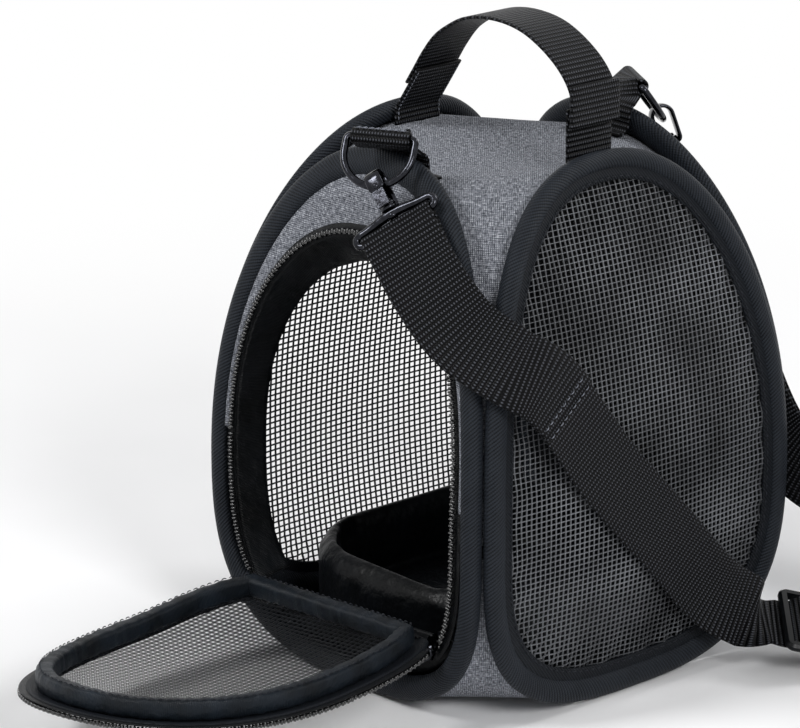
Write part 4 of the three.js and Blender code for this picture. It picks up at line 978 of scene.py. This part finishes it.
# Cloth flap that joins the sill to the door
flap = dict(half=0.052, steps=60, rows=6, sag=0.0006)
rows, flat = [], []
for x in np.linspace(-flap["half"], flap["half"], flap["steps"] + 1):
    below = onPanel(frontPanel, x, hingeLine(x) - 0.0025, -0.0008)
    above = opened(onPanel(frontPanel, x, hingeLine(x) + edgeInset + 0.002, -0.0006))
    middle = (below + above) / 2 + np.array([0, 0, flap["sag"]])
    shares = np.linspace(0, 1, flap["rows"] + 1)
    rows.append([(1 - t) ** 2 * below + 2 * t * (1 - t) * middle + t * t * above for t in shares])
doorFlap = gridPiece("doorFlap", np.array(rows), satin)
foldStart = rows[flap["steps"] // 2][0]
foldEnd = rows[flap["steps"] // 2][-1]
thicken(doorFlap, 0.0006, 0).modifiers["thickness"].use_even_offset = False
tuple(foldStart)
tuple(foldEnd)
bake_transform(doorFlap)

# Routes of webbing


def curvePoint(points, t):  # centripetal curve through points
    points = np.asarray(points, float)
    last = len(points) - 1
    place = last * t
    i = min(int(math.floor(place)), last - 1)
    w = place - i
    p1, p2 = points[i], points[i + 1]
    p0 = points[i - 1] if i > 0 else 2 * points[0] - points[1]
    p3 = points[i + 2] if i + 2 <= last else 2 * points[last] - points[last - 1]
    d0, d1, d2 = (math.sqrt(np.linalg.norm(b - a)) for a, b in ((p0, p1), (p1, p2), (p2, p3)))
    d1 = d1 if d1 > 1e-6 else 1.0
    d0 = d0 if d0 > 1e-6 else d1
    d2 = d2 if d2 > 1e-6 else d1
    m1 = ((p1 - p0) / d0 - (p2 - p0) / (d0 + d1) + (p2 - p1) / d1) * d1
    m2 = ((p2 - p1) / d1 - (p3 - p1) / (d1 + d2) + (p3 - p2) / d2) * d1
    return p1 + m1 * w + (-3 * p1 + 3 * p2 - 2 * m1 - m2) * w ** 2 + (2 * p1 - 2 * p2 + m1 + m2) * w ** 3


def routePlaces(route, steps):  # (place, across, face) along a route of (place, across)
    ats = [at for at, across in route]
    widths = [unit(across) for at, across in route]
    places = []
    for i in range(steps + 1):
        t = i / steps
        along = unit(curvePoint(ats, min(t + 1e-4, 1)) - curvePoint(ats, max(t - 1e-4, 0)))
        across = curvePoint(widths, t)
        across = unit(across - along * across.dot(along))
        places.append((curvePoint(ats, t), across, unit(np.cross(along, across))))
    return places


def ribbonRows(places, width, thickness):
    ats = np.array([place[0] for place in places])
    radius = thickness / 2
    flat = width / 2 - radius
    flats = np.linspace(-flat, flat, 9)
    rounds = [(radius * math.cos(a), radius * math.sin(a)) for a in (quarter / 2, 0, -quarter / 2)]
    section = [(a, radius) for a in flats] + [(flat + c, s) for c, s in rounds]
    section += [(a, -radius) for a in flats[::-1]] + [(-flat - c, -s) for c, s in rounds]
    rows, last = [], len(places) - 1
    for i, place in enumerate(places):
        along = unit(ats[min(i + 1, last)] - ats[max(i - 1, 0)])
        side = unit(place[1] - along * np.dot(place[1], along))
        across = np.cross(along, side)
        rows.append([ats[i] + side * a + across * b for a, b in section])
    rows = np.array(rows)
    u = runAlong(ats)
    v = np.array([a for a, b in section] + [section[0][0]])
    uv = np.stack(np.meshgrid(u, v, indexing="ij"), axis=2)
    return rows, uv


def ribbonPiece(name, places, width, thickness):
    rows, uv = ribbonRows(places, width, thickness)
    return gridPiece(name, rows, webbingCloth, loopAcross=True, capEnds=True, uv=uv)


webs = dict(strap=0.032, handle=0.025, thickness=0.0014, layerGap=0.0004, foldBack=0.112)
gap = bag["seamGap"]


def smooth(value):
    value = min(max(value, 0), 1)
    return value * value * (3 - 2 * value)


metal = dict(
    ringWire=0.0015, ringHalf=0.0145, ringDrop=0.021, ringCorner=0.002,
    standOff=0.009, barHeight=0.2335, across=0.006, turn=math.radians(30), tilt=math.radians(35),
    tail=0.007, slope=math.radians(30), underlap=0.007, tabBack=-0.85, tabFront=0.1,
    hold=0.0115, shift=0.003, bandWidth=0.007, band=0.0018, half=0.0036, slack=0.0052, nose=0.008,
    collarRadius=0.0034, collarLength=0.0036, collarGroove=0.9, clearance=0.0003,
    pinRadius=0.0014, headRadius=0.0024, headLength=0.0012,
    loopWire=0.0015, loopHalf=0.0182, loopDepth=0.0046, loopRise=0.0016, eyeDrop=0.003, foldSettle=0.014,
)
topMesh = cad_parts["top_panel"].data
topFaces = [tuple(p.vertices) for p in topMesh.polygons]
topTree = BVHTree.FromPolygons([v.co for v in topMesh.vertices], topFaces)


def heightOver(x, y, half):  # the highest point of the top panel in a cross round a place
    found = []
    for share in (-1, -0.5, 0, 0.5, 1):
        for px, py in ((x + share * half, y), (x, y + share * half)):
            hit = topTree.ray_cast(Vector((px, py, 0.45)), Vector((0, 0, -1)))[0]
            if hit:
                found.append(hit.z)
    return max(found)


# Handle: one webbing with its ends sewn to two tabs, the left one leaning in as in the photo

grip = dict(
    inset=0.0066, tabTop=0.2435, end=0.2365, bendLeft=0.2515, bendRight=0.25, steps=110,
    wrapTop=0.2535, leanFrom=0.224, lean=0.7,
    crown=[(-0.52, 0.2595), (-0.4, 0.2642), (-0.18, 0.2702), (0.14, 0.273), (0.5, 0.2705), (0.86, 0.2598)],
)
tabX = panelDistance(panels["right"], bag["height"] - rolls["sideTop"] / 2) - grip["inset"]
legX = tabX + webs["thickness"] + webs["layerGap"]
acrossY = np.array([0.0, 1.0, 0.0])


def leaning(z):  # how far in the left leg stands at a height
    return grip["lean"] * max(z - grip["leanFrom"], 0)


rises = (grip["end"], grip["tabTop"], grip["bendLeft"])
knots = [(leaning(z) - legX - 0.0004, z) for z in rises]
knots += [(x * legX, z) for x, z in grip["crown"]]
falls = (grip["bendRight"], (grip["end"] + grip["bendRight"]) / 2, grip["end"])
knots += [(legX, z) for z in falls]
places = routePlaces([(np.array([x, 0, z]), acrossY) for x, z in knots], grip["steps"])
dress(ribbonPiece("handleWebbing", places, webs["handle"], webs["thickness"]), "handle", "webbing", "handle")
for side, name in ((-1, "Left"), (1, "Right")):
    foot = heightOver(side * tabX, 0, webs["handle"] / 2) + gap
    lean = leaning if side < 0 else (lambda z: 0)
    heights = np.linspace(foot, grip["tabTop"], 16)
    upright = [(np.array([side * tabX + lean(z), 0, z]), acrossY, None) for z in heights]
    tab = ribbonPiece(f"handleTab{name}", upright, webs["handle"], webs["thickness"])
    dress(tab, "shell", "webbing", f"handle_tab_{name.lower()}")
    inner = side * (tabX - webs["thickness"] / 2 - 0.0002)
    heights = np.linspace(foot + 0.002, grip["tabTop"] - 0.001, 16)
    for k, y in enumerate((-0.0113, 0.0113)):  # a row near each edge of the webbing
        line = [[inner + lean(z), y, z] for z in heights]
        stitchRow(f"tabStitches{name}{k}", line, [[-side, 0, 0]] * 16, paleThread, "shell", "webbing",
                  length=1.4, gap=0.7)
wrapX = legX + webs["thickness"] + 0.0002
wrap = [(np.array([wrapX, 0, z]), acrossY, None) for z in np.linspace(grip["end"], grip["wrapTop"], 16)]
dress(ribbonPiece("handleWrap", wrap, webs["handle"] + 0.002, webs["thickness"]), "handle", "webbing")
print("handle made")

# Rings, tabs, hooks and strap loops


def mirroredY(vector, sign):
    return np.array([vector[0], sign * vector[1], vector[2]])


def axesMatrix(origin, x, y, z):
    made = np.eye(4)
    made[:3, 0], made[:3, 1], made[:3, 2], made[:3, 3] = x, y, z, origin
    return made


def placed(points, matrix):
    points = np.asarray(points, float)
    return points @ matrix[:3, :3].T + matrix[:3, 3]


def latheRows(profile, sides=32):  # (radius, height) turned about Z
    turns = np.arange(sides) * fullTurn / sides
    return np.array([[(r * math.cos(a), r * math.sin(a), h) for a in turns] for r, h in profile])


def bandSection(halfWidth, halfThick):  # a pressed bar with crowned faces, width first
    def bowed(value, power):
        return math.copysign(abs(value) ** power, value)
    turns = np.arange(24) * fullTurn / 24
    return [(halfWidth * bowed(math.cos(t), 0.6), halfThick * bowed(math.sin(t), 0.85)) for t in turns]


def bandRows(path, halfWidths, halfThick):  # a flat bar bent in the XZ plane, its width along Y
    path = np.asarray(path, float)
    rows, last = [], len(path) - 1
    for i, (x, z) in enumerate(path):
        along = unit(path[min(i + 1, last)] - path[max(i - 1, 0)])
        normal = np.array([-along[1], along[0]])
        section = bandSection(halfWidths[i], halfThick)
        rows.append([(x + normal[0] * b, a, z + normal[1] * b) for a, b in section])
    return np.array(rows)


def arcPath(centre, radius, start, end, count):
    angles = np.linspace(start, end, count)
    return [(centre[0] + radius * math.cos(a), centre[1] + radius * math.sin(a)) for a in angles]


def ringFrame(sign):
    centre = rollFrame(frontPanel, quarter)[0]
    across = np.array([math.cos(metal["turn"]), math.sin(metal["turn"]), 0])
    forward = np.array([math.sin(metal["turn"]), -math.cos(metal["turn"]), 0])
    origin = np.array([metal["across"], centre[1] - metal["standOff"], metal["barHeight"]])
    up = np.array([0, 0, 1]) * math.cos(metal["tilt"]) - forward * math.sin(metal["tilt"])
    return [mirroredY(v, sign) for v in (origin, across, forward, up)]


def ringPath():
    half, corner = metal["ringHalf"], metal["ringCorner"]
    low = half - metal["ringDrop"]
    path = [(x, 0) for x in np.linspace(corner - half, half - corner, 12)]
    path += arcPath((half - corner, -corner), corner, quarter, 0, 7)[1:]
    path += [(half, z) for z in np.linspace(-corner, low, 5)[1:-1]]
    path += arcPath((0, low), half, 0, -math.pi, 36)
    path += [(-half, z) for z in np.linspace(low, -corner, 5)[1:-1]]
    path += arcPath((corner - half, -corner), corner, math.pi, quarter, 7)[:-1]
    return np.array([(x, 0, z) for x, z in path])


def tabPlaces(sign):
    centre, outward, away = rollFrame(frontPanel, quarter)
    half = rollHalf(frontPanel, quarter)
    off = 2 * gap + webs["thickness"] / 2
    origin, across, forward = ringFrame(1)[:3]
    square = np.array([1.0, 0, 0])

    def aroundRoll(angle):
        rise = outward * math.sin(angle) * (rolls["depth"] / 2 + off)
        place = centre + away * math.cos(angle) * (half + off) + rise
        return np.array([metal["across"], place[1], place[2]])
    wrap = metal["ringWire"] + gap + webs["thickness"] / 2

    def aroundBar(angle, back):
        return (origin + forward * (wrap * math.sin(angle) - back * math.cos(metal["slope"]))
                + np.array([0, 0, 1]) * (wrap * math.cos(angle) - back * math.sin(metal["slope"])))
    behind = aroundRoll(quarter * metal["tabBack"])
    tail = heightOver(metal["across"], -behind[1] - metal["tail"], webs["handle"] / 2) + off + 0.0007
    flat = [behind[1] + metal["tail"] * share for share in (1, 0.78, 0.56, 1 / 3)]
    places = [(np.array([metal["across"], y, tail]), square) for y in flat]
    turns = np.linspace(metal["tabBack"], metal["tabFront"], 13)
    places += [(aroundRoll(quarter * turn), square) for turn in turns]
    places.append((aroundBar(-metal["slope"], 2 * wrap), across))
    places += [(aroundBar(-metal["slope"] + math.pi * k / 14, 0), across) for k in range(15)]
    places.append((aroundBar(math.pi - metal["slope"], metal["underlap"] / 2), across))
    places.append((aroundBar(math.pi - metal["slope"], metal["underlap"]), across))
    return [(mirroredY(at, sign), mirroredY(width, sign), None) for at, width in places]


def closedLathe(name, profile, matrix, material, sides=32):
    rows = latheRows(profile, sides)
    return gridPiece(name, placed(rows, matrix), material, loopAcross=True, capEnds=True)


def hardware(side, sign, way, loopWidth):
    origin, across, _, up = ringFrame(sign)
    ringAxes = axesMatrix(origin, across, np.cross(up, across), up)
    rows = placed(tube(ringPath(), metal["ringWire"], 16, loop=True, wide=(0, 1, 0)), ringAxes)
    ring = gridPiece(f"{side}Ring", rows, gunmetal, loopAlong=True, loopAcross=True)
    dress(ring, f"{side}_ring", "gunmetal", f"{side}_ring")
    tab = ribbonPiece(f"{side}RingTab", tabPlaces(sign), webs["handle"], webs["thickness"])
    dress(tab, "shell", "webbing", f"{side}_ring_tab")
    back = -unit(way)
    wide = np.asarray(loopWidth, float)
    wide = unit(wide - back * wide.dot(back))
    face = np.cross(wide, back)
    base = origin - up * metal["ringDrop"] + across * metal["shift"] - back * metal["hold"]
    axes = axesMatrix(base, face, wide, back)
    crest = metal["hold"] + metal["slack"]
    middle, bend = metal["half"] + metal["band"] / 2, crest - metal["half"]
    path = arcPath((-middle + 0.0022, 0.0009 + 0.0022), 0.0022, -quarter, -math.pi, 8)
    path = [(-0.0012, 0.0009)] + path
    path += [(-middle, z) for z in np.linspace(path[-1][1], bend, 8)[1:-1]]
    path += arcPath((0, bend), middle, math.pi, 0, 26)
    path += [(middle, z) for z in np.linspace(bend, crest - metal["nose"], 5)[1:]]
    widths = [metal["bandWidth"] / 2 * (0.82 if i < 4 else 1) for i in range(len(path))]
    widths[-1] *= 0.78
    rows = placed(bandRows(path, widths, metal["band"] / 2), axes)
    hook = gridPiece(f"{side}HookBand", rows, gunmetal, loopAcross=True, capEnds=True)
    dress(hook, f"{side}_hook", "gunmetal", f"{side}_hook")
    bore = metal["pinRadius"] + metal["clearance"]
    outer, length = metal["collarRadius"], metal["collarLength"]
    groove = outer * metal["collarGroove"]
    profile = [
        (bore, 0), (outer * 0.86, 0), (outer * 0.97, 0.0003), (outer, 0.0008), (outer, 0.0013),
        (groove, 0.0016), (groove, 0.002), (outer, 0.0023), (outer, length - 0.0006),
        (groove, length), (bore, length), (bore, 0),
    ]
    collar = gridPiece(f"{side}HookCollar", placed(latheRows(profile), axes), gunmetal, loopAcross=True)
    dress(collar, f"{side}_hook", "gunmetal")
    nose = [
        (0.0001, -0.0013), (0.0009, -0.001), (0.0014, 0),
        (0.0015, 0.0008), (0.0012, 0.0016), (0.0001, 0.0018),
    ]
    tip = placed([[middle, 0, crest - metal["nose"] + 0.0016]], axes)[0]
    noseAxes = axesMatrix(tip, wide, back, face)
    dress(closedLathe(f"{side}HookNose", nose, noseAxes, gunmetal, 20), f"{side}_hook", "gunmetal")
    end = metal["loopDepth"] / 2
    reach = metal["loopHalf"] - end
    loop, girth = [], []
    for bar in (1, -1):  # the upper bar rises to the swivel, the lower one carries the webbing
        for y in np.linspace(-reach, reach, 24)[:-1]:
            bulge = math.cos(quarter * y / reach) if bar > 0 else 0
            loop.append((0, bar * y, bar * end - metal["eyeDrop"] - end + metal["loopRise"] * bulge ** 2))
            girth.append(metal["loopWire"] * (1.15 + 0.3 * bulge ** 4 if bar > 0 else 1))
        for a in np.linspace(0, math.pi, 11)[:-1]:
            z = bar * end * math.cos(a) - metal["eyeDrop"] - end
            loop.append((0, bar * (reach + end * math.sin(a)), z))
            girth.append(metal["loopWire"] * 1.05)
    rows = placed(tube(loop, girth, 16, loop=True, wide=(1, 0, 0)), axes)
    strapLoop = gridPiece(f"{side}StrapLoop", rows, gunmetal, loopAlong=True, loopAcross=True)
    dress(strapLoop, "shell", "gunmetal", f"{side}_strap_loop")
    top, head = length + metal["clearance"], metal["headRadius"]
    pin = [
        (0.0021, -metal["eyeDrop"] - 0.0008), (0.0024, -metal["eyeDrop"] + 0.0006), (0.0017, -0.0011),
        (metal["pinRadius"], -0.0006), (metal["pinRadius"], top), (head * 0.92, top), (head, top + 0.0003),
        (head * 0.85, top + 0.001), (0.0001, top + metal["headLength"]),
    ]
    dress(closedLathe(f"{side}SwivelPin", pin, axes, gunmetal), "shell", "gunmetal")
    barAt = base - back * (metal["eyeDrop"] + metal["loopDepth"])
    return barAt, wide, face, back


frontBar = hardware("front", 1, (0.72, -0.12, -0.68), (0.55, 0.59, 0.59))
backBar = hardware("back", -1, (0.3, 0.17, -0.94), (0.82, -0.53, 0.2))
tabSeam = tabPlaces(1)
for k, index in enumerate((18, 21)):
    at, width = tabSeam[index][0], tabSeam[index][1]
    tangent = unit(tabSeam[index + 1][0] - tabSeam[index - 1][0])
    out = unit(np.cross(width, tangent))
    out = out if out[2] > 0 else -out
    ends = [at + width * a + out * 0.0009 for a in (-0.0112, 0.0112)]
    stitchRow(f"ringTabStitches{k}", ends, [out, out], paleThread, "shell", "webbing", length=2.0, gap=0.7)
print("hardware made")

# Shoulder strap, on the frame's own route

frontRoute = [
    ((50, -86.5, 186), (0.52, 0.6, 0.6)), ((70, -84, 168.5), (0.4, 0.68, 0.62)),
    ((85.5, -74, 157), (0.15, 0.74, 0.65)), ((92.4, -60, 147), (0, 0.75, 0.66)),
    ((92.4, -23.6, 102.5), (0, 0.75, 0.66)), ((92.4, 12, 64), (0, 0.75, 0.66)),
    ((92.6, 40, 34), (0, 0.75, 0.66)), ((97, 54, 24), (-0.1, 0.77, 0.62)),
]
adjuster = dict(
    at=(112, 76, 17), across=(-0.58, 0.78, 0.2), along=(0.58, 0.78, -0.24), length=0.026, thickness=0.0036,
    bar=0.0034, rim=0.0034,
)
rearRoute = [
    ((134, 104, 7.5), (-0.4, 0.9, 0.05)), ((158, 116, 4), (-0.12, 1, 0)), ((190, 119, 4), (0, 1, 0)),
    ((220, 118, 15), (0, 1, 0)), ((231, 116, 38), (0, 1, 0)), ((214, 113, 62), (0, 1, 0)),
    ((176, 109, 73), (0, 0.95, 0.3)), ((130, 104, 73), (0, 0.6, 0.8)),
    ((96, 101, 71), (0.05, 0.35, 0.93)), ((70, 99, 82), (0.35, 0.2, 0.9)), ((50, 96, 116), (0.75, 0.1, 0.6)),
    ((37, 91, 155), (0.93, 0.05, 0.3)),
]
adjusterAlong = unit(adjuster["along"])
adjusterAcross = np.asarray(adjuster["across"], float)
adjusterAcross = unit(adjusterAcross - adjusterAlong * adjusterAcross.dot(adjusterAlong))
adjusterFace = np.cross(adjusterAlong, adjusterAcross)
adjusterAt = np.asarray(adjuster["at"], float) * mm


def inAdjuster(along, off):
    return adjusterAt + adjusterAlong * along + adjusterFace * off, adjusterAcross


def routeOf(route):
    return [(np.asarray(at, float) * mm, np.asarray(across, float)) for at, across in route]


# The strap folded round a loop's bar: an outer layer of some length, then the inner layer all the way
def foldedPlaces(places, bar, outerLength, endLift):
    barAt, barAcross, barFace, barBack = bar
    wrap = metal["loopWire"] + gap + webs["thickness"] / 2
    layer = (webs["thickness"] + webs["layerGap"]) / 2
    ats = np.array([p[0] for p in places])
    run = runAlong(ats)
    outer, inner = [], []
    for distance, (at, across, out) in zip(run, places):
        parted = wrap + (layer - wrap) * smooth((distance - wrap) / metal["foldSettle"])
        near = smooth(1 - (run[-1] - distance) / metal["foldSettle"])
        outerLift = parted + (endLift - parted) * near if endLift else parted
        innerLift = outerLift if endLift else parted * (1 - near)
        if distance <= outerLength:
            outer.append((at + out * outerLift, across, out))
        inner.append((at - out * innerLift, across, out))
    around = [(barAt + barFace * wrap * math.cos(a) + barBack * wrap * math.sin(a), barAcross, None)
              for a in np.linspace(0, math.pi, 16)[1:-1]]
    return outer[::-1] + around + inner


weave = adjuster["thickness"] / 2 + gap + webs["thickness"] / 2
half = adjuster["length"] / 2
entry = half + webs["layerGap"]
knots = [(frontBar[0] + frontBar[3] * -mm, frontBar[1])] + routeOf(frontRoute)
knots += [inAdjuster(-half - metal["foldSettle"] / 2, -weave), inAdjuster(-entry, -weave)]
frontStretch = routePlaces(knots, 220)
barInside = half - adjuster["rim"] - webs["thickness"] / 2
barReach = adjuster["bar"] / 2 + webs["thickness"] / 2
threadKnots = [
    inAdjuster(-entry, -weave), inAdjuster(-barInside, -weave), inAdjuster(-barReach, weave),
    inAdjuster(barReach, weave), inAdjuster(barInside, -weave), inAdjuster(entry, -weave),
]
threaded = []
for (atA, across), (atB, _) in zip(threadKnots[:-1], threadKnots[1:]):
    threaded += [(atA + (atB - atA) * share, across, None) for share in (1 / 3, 2 / 3, 1)]
strapFront = ribbonPiece("strapFront", foldedPlaces(frontStretch, frontBar, webs["foldBack"], 0) + threaded,
                         webs["strap"], webs["thickness"])
dress(strapFront, "shell", "webbing", "strap_front")
rearStretch = routePlaces(
    [(backBar[0] + backBar[3] * -mm, backBar[1])] + routeOf(rearRoute)[::-1]
    + [inAdjuster(half + metal["foldSettle"], 0), inAdjuster(half + 2 * webs["layerGap"], 0)], 360)
rearPlaces = foldedPlaces(rearStretch, backBar, math.inf, weave)  # doubled as far as the adjuster
rearPlaces.append((*inAdjuster(barInside + webs["thickness"], weave), None))
strapRear = ribbonPiece("strapRear", rearPlaces, webs["strap"], webs["thickness"])
dress(strapRear, "shell", "webbing", "strap_rear")


def strapStitches(name, stretch, distance, lift):  # a row across the strap at a distance from its bar
    ats = np.array([p[0] for p in stretch])
    run = runAlong(ats)
    index = int(np.searchsorted(run, distance))
    at, across, out = stretch[index]
    ends = [at + across * a + out * lift for a in (-0.0145, 0.0145)]
    stitchRow(name, ends, [out * np.sign(lift)] * 2, paleThread, "shell", "webbing", length=2.2, gap=0.9)


topLift = webs["thickness"] + webs["layerGap"] / 2 + 0.0002
strapStitches("strapStitches0", frontStretch, webs["foldBack"] - 0.004, topLift)
strapStitches("strapStitches1", frontStretch, webs["foldBack"] - 0.008, topLift)
print("strap made")

# Pad: soft tray that puffs out against its own cover

pad = dict(voxel=0.0032, shrink=0.0006, pressure=4.0, cap=0.003, frames=14)


def evaluated(piece):
    bpy.context.view_layer.update()
    return bpy.data.meshes.new_from_object(piece.evaluated_get(bpy.context.evaluated_depsgraph_get()))


def copyOf(node, name):
    made = bpy.data.objects.new(name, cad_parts[node].data.copy())
    bpy.context.scene.collection.objects.link(made)
    return made


softPad = copyOf("pad", "softPad")
remesh = softPad.modifiers.new("even", "REMESH")
remesh.mode = "VOXEL"
remesh.voxel_size = pad["voxel"]
softPad.data = evaluated(softPad)
softPad.modifiers.clear()
nudge(softPad, lambda co, normal: -normal * pad["shrink"])
before = np.array([v.co for v in softPad.data.vertices])
cloth = softPad.modifiers.new("cover", "CLOTH")
cloth.settings.use_pressure = True
cloth.settings.uniform_pressure_force = pad["pressure"]
cloth.settings.quality = 5
cloth.settings.effector_weights.gravity = 0
cloth.point_cache.frame_end = pad["frames"]
for step in range(1, pad["frames"] + 1):
    bpy.context.scene.frame_set(step)
swollen = evaluated(softPad)
after = np.array([v.co for v in swollen.vertices])
move = after - before
size = np.linalg.norm(move, axis=1, keepdims=True)
move = move * np.minimum(1, pad["cap"] / np.maximum(size, 1e-9))
softPad.modifiers.clear()
for vertex, place in zip(softPad.data.vertices, before + move):
    vertex.co = place
bpy.context.scene.frame_set(1)
for vertex in softPad.data.vertices:
    vertex.co.z = max(vertex.co.z, 0.0048)
softPad.data.shade_smooth()
softPad.data.materials.clear()
softPad.data.materials.append(satin)
finer = softPad.modifiers.new("finer", "SUBSURF")
finer.levels = finer.render_levels = 1
dress(softPad, "pad", "lining_cloth", "pad")
print("pad made")

# Zip pull: wire loop with a barrel tip, hung from the slider's bridge

puller = dict(
    at=(0.0590333, -0.0918788, 0.0338522), x=(-0.6099, -0.0475, 0.791), y=(0.0032, -0.9983, -0.0576),
    wire=0.00055, width=0.0052, length=0.025, tip=0.0019,
)
pullX = unit(puller["x"])
pullY = unit(np.asarray(puller["y"]) - pullX * np.dot(puller["y"], pullX))
pullAxes = axesMatrix(puller["at"], pullX, pullY, np.cross(pullX, pullY))
half = puller["width"] / 2
path = [(half * math.cos(a), 0, half * math.sin(a) - half) for a in np.linspace(0, math.pi, 13)]
path += [(-half * (1 - 0.4 * s), 0, -half + (half * 2 - puller["length"]) * s) for s in (0.33, 0.66, 1)]
path += [(-half * 0.3, 0, -puller["length"] + 0.0006), (half * 0.3, 0, -puller["length"] + 0.0006)]
path += [(half * (1 - 0.4 * s), 0, -half + (half * 2 - puller["length"]) * s) for s in (1, 0.66, 0.33)]
rows = placed(tube(path, puller["wire"], 10, loop=True, wide=(0, 1, 0)), pullAxes)
dress(gridPiece("pullWire", rows, gunmetal, loopAlong=True, loopAcross=True), "pull", "gunmetal", "zip_pull")
r, low = puller["tip"], puller["wire"] - puller["length"]
profile = [
    (0.0001, 0), (r * 0.6, 0), (r * 0.72, -0.0006), (r * 0.7, -0.0012), (r, -0.002), (r * 1.02, -0.005),
    (r, -0.0085), (r * 0.86, -0.0094), (r * 0.7, -0.01), (0.0001, -0.01),
]
tipAxes = pullAxes.copy()
tipAxes[:3, 3] = placed([[0, 0, low]], pullAxes)[0]
dress(closedLathe("pullTip", profile, tipAxes, gunmetal, 24), "pull", "gunmetal")

# Rigid pieces that keep the frame's own shape
kept = dict(
    zip_slider=gunmetal, front_gate=gunmetal, back_gate=gunmetal,
    strap_adjuster=acetal, base_board=boardStock,
)
for name, finish in kept.items():
    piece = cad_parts[name]
    piece.data.materials.clear()
    piece.data.materials.append(finish)
    edges = piece.modifiers.new("edges", "BEVEL")
    edges.width = 0.00025
    edges.segments = 2
    edges.limit_method = "ANGLE"
    edges.angle_limit = math.radians(38)
print("small parts made")

# Floor, light and camera

def seenStraight(tree):  # 1 where the camera, glass or a gloss looks, 0 for light that only falls on things
    rays = addNode(tree, "ShaderNodeLightPath").outputs
    straight = calc(tree, "MAXIMUM", rays["Is Camera Ray"], rays["Is Transmission Ray"])
    return calc(tree, "MAXIMUM", straight, rays["Is Glossy Ray"])


floorMaterial, tree, shader = newFinish("paleFloor", Roughness=0.9, Specular_IOR_Level=0.1)
paint(tree, shader, mottle(tree, 180), (0.3, "#f6f6f7"), (0.7, "#fbfbfc"))
middle = addNode(tree, "ShaderNodeTexCoord").outputs["Object"]
away = addNode(tree, "ShaderNodeVectorMath", {0: middle}, operation="LENGTH").outputs["Value"]
fade = {0: away, 1: 0.22, 2: 0.7}  # in m, past the shadows
beyond = addNode(tree, "ShaderNodeMapRange", fade, interpolation_type="SMOOTHSTEP").outputs[0]
plain = addNode(tree, "ShaderNodeEmission")  # past its shadows the floor is seen as plain white
share = calc(tree, "MULTIPLY", beyond, seenStraight(tree))
shown = addNode(tree, "ShaderNodeMixShader", {0: share, 1: shader.outputs[0], 2: plain.outputs[0]})
tree.links.new(shown.outputs[0], tree.nodes["Material Output"].inputs["Surface"])
floorMesh = bpy.data.meshes.new("floor")
corners = [(-4, -4, 0), (4, -4, 0), (4, 4, 0), (-4, 4, 0)]
floorMesh.from_pydata(corners, [], [(0, 1, 2, 3)])
floorMesh.materials.append(floorMaterial)
floorPiece = bpy.data.objects.new("floor", floorMesh)
bpy.context.scene.collection.objects.link(floorPiece)
floorPiece.location.z = -0.0002

world = bpy.data.worlds.new("studio")
bpy.context.scene.world = world
world.use_nodes = True
sky = world.node_tree
background = sky.nodes["Background"]
level = addNode(sky, "ShaderNodeMapRange", {0: seenStraight(sky), 3: 0.35, 4: 1.0})
sky.links.new(level.outputs[0], background.inputs["Strength"])
background.inputs["Color"].default_value = (1, 1, 1, 1)

lamps = dict(
    key=dict(place=(-0.5, -1.5, 1.7), size=0.55, power=26),
    side=dict(place=(1.7, -0.5, 1.2), size=0.6, power=19),
    back=dict(place=(0.4, 1.6, 1.5), size=0.7, power=15),
)
for name, lamp in lamps.items():
    light = bpy.data.lights.new(name, "AREA")
    light.energy = lamp["power"]
    light.size = lamp["size"]
    made = bpy.data.objects.new(name, light)
    bpy.context.scene.collection.objects.link(made)
    made.location = lamp["place"]
    made.rotation_euler = (Vector((0, 0, 0.1)) - made.location).to_track_quat("-Z", "Y").to_euler()

shot = dict(
    azimuth=math.radians(47.09), elevation=math.radians(18.23), distance=1.8, aimHeight=0.113,
    focal=4272.88, middle=(499.28, 381.73), size=(800, 728), sensor=36.0,
)
az, el = shot["azimuth"], shot["elevation"]
back = np.array([math.sin(az) * math.cos(el), -math.cos(az) * math.cos(el), math.sin(el)])
right = np.array([math.cos(az), math.sin(az), 0])
up = np.cross(back, right)
ray = (-back + right * (shot["size"][0] / 2 - shot["middle"][0]) / shot["focal"]
       - up * (shot["size"][1] / 2 - shot["middle"][1]) / shot["focal"])
camera = bpy.data.cameras.new("camera")
camera.sensor_width = shot["sensor"]
camera.lens = shot["focal"] * shot["sensor"] / shot["size"][0]
camera.clip_end = 30
eye = bpy.data.objects.new("camera", camera)
bpy.context.scene.collection.objects.link(eye)
eye.location = Vector((0, 0, shot["aimHeight"])) + Vector(back) * shot["distance"]
eye.rotation_euler = Vector(ray).to_track_quat("-Z", "Y").to_euler()
bpy.context.scene.camera = eye
bpy.context.scene.view_settings.view_transform = "Standard"
print("floor, light and camera made")
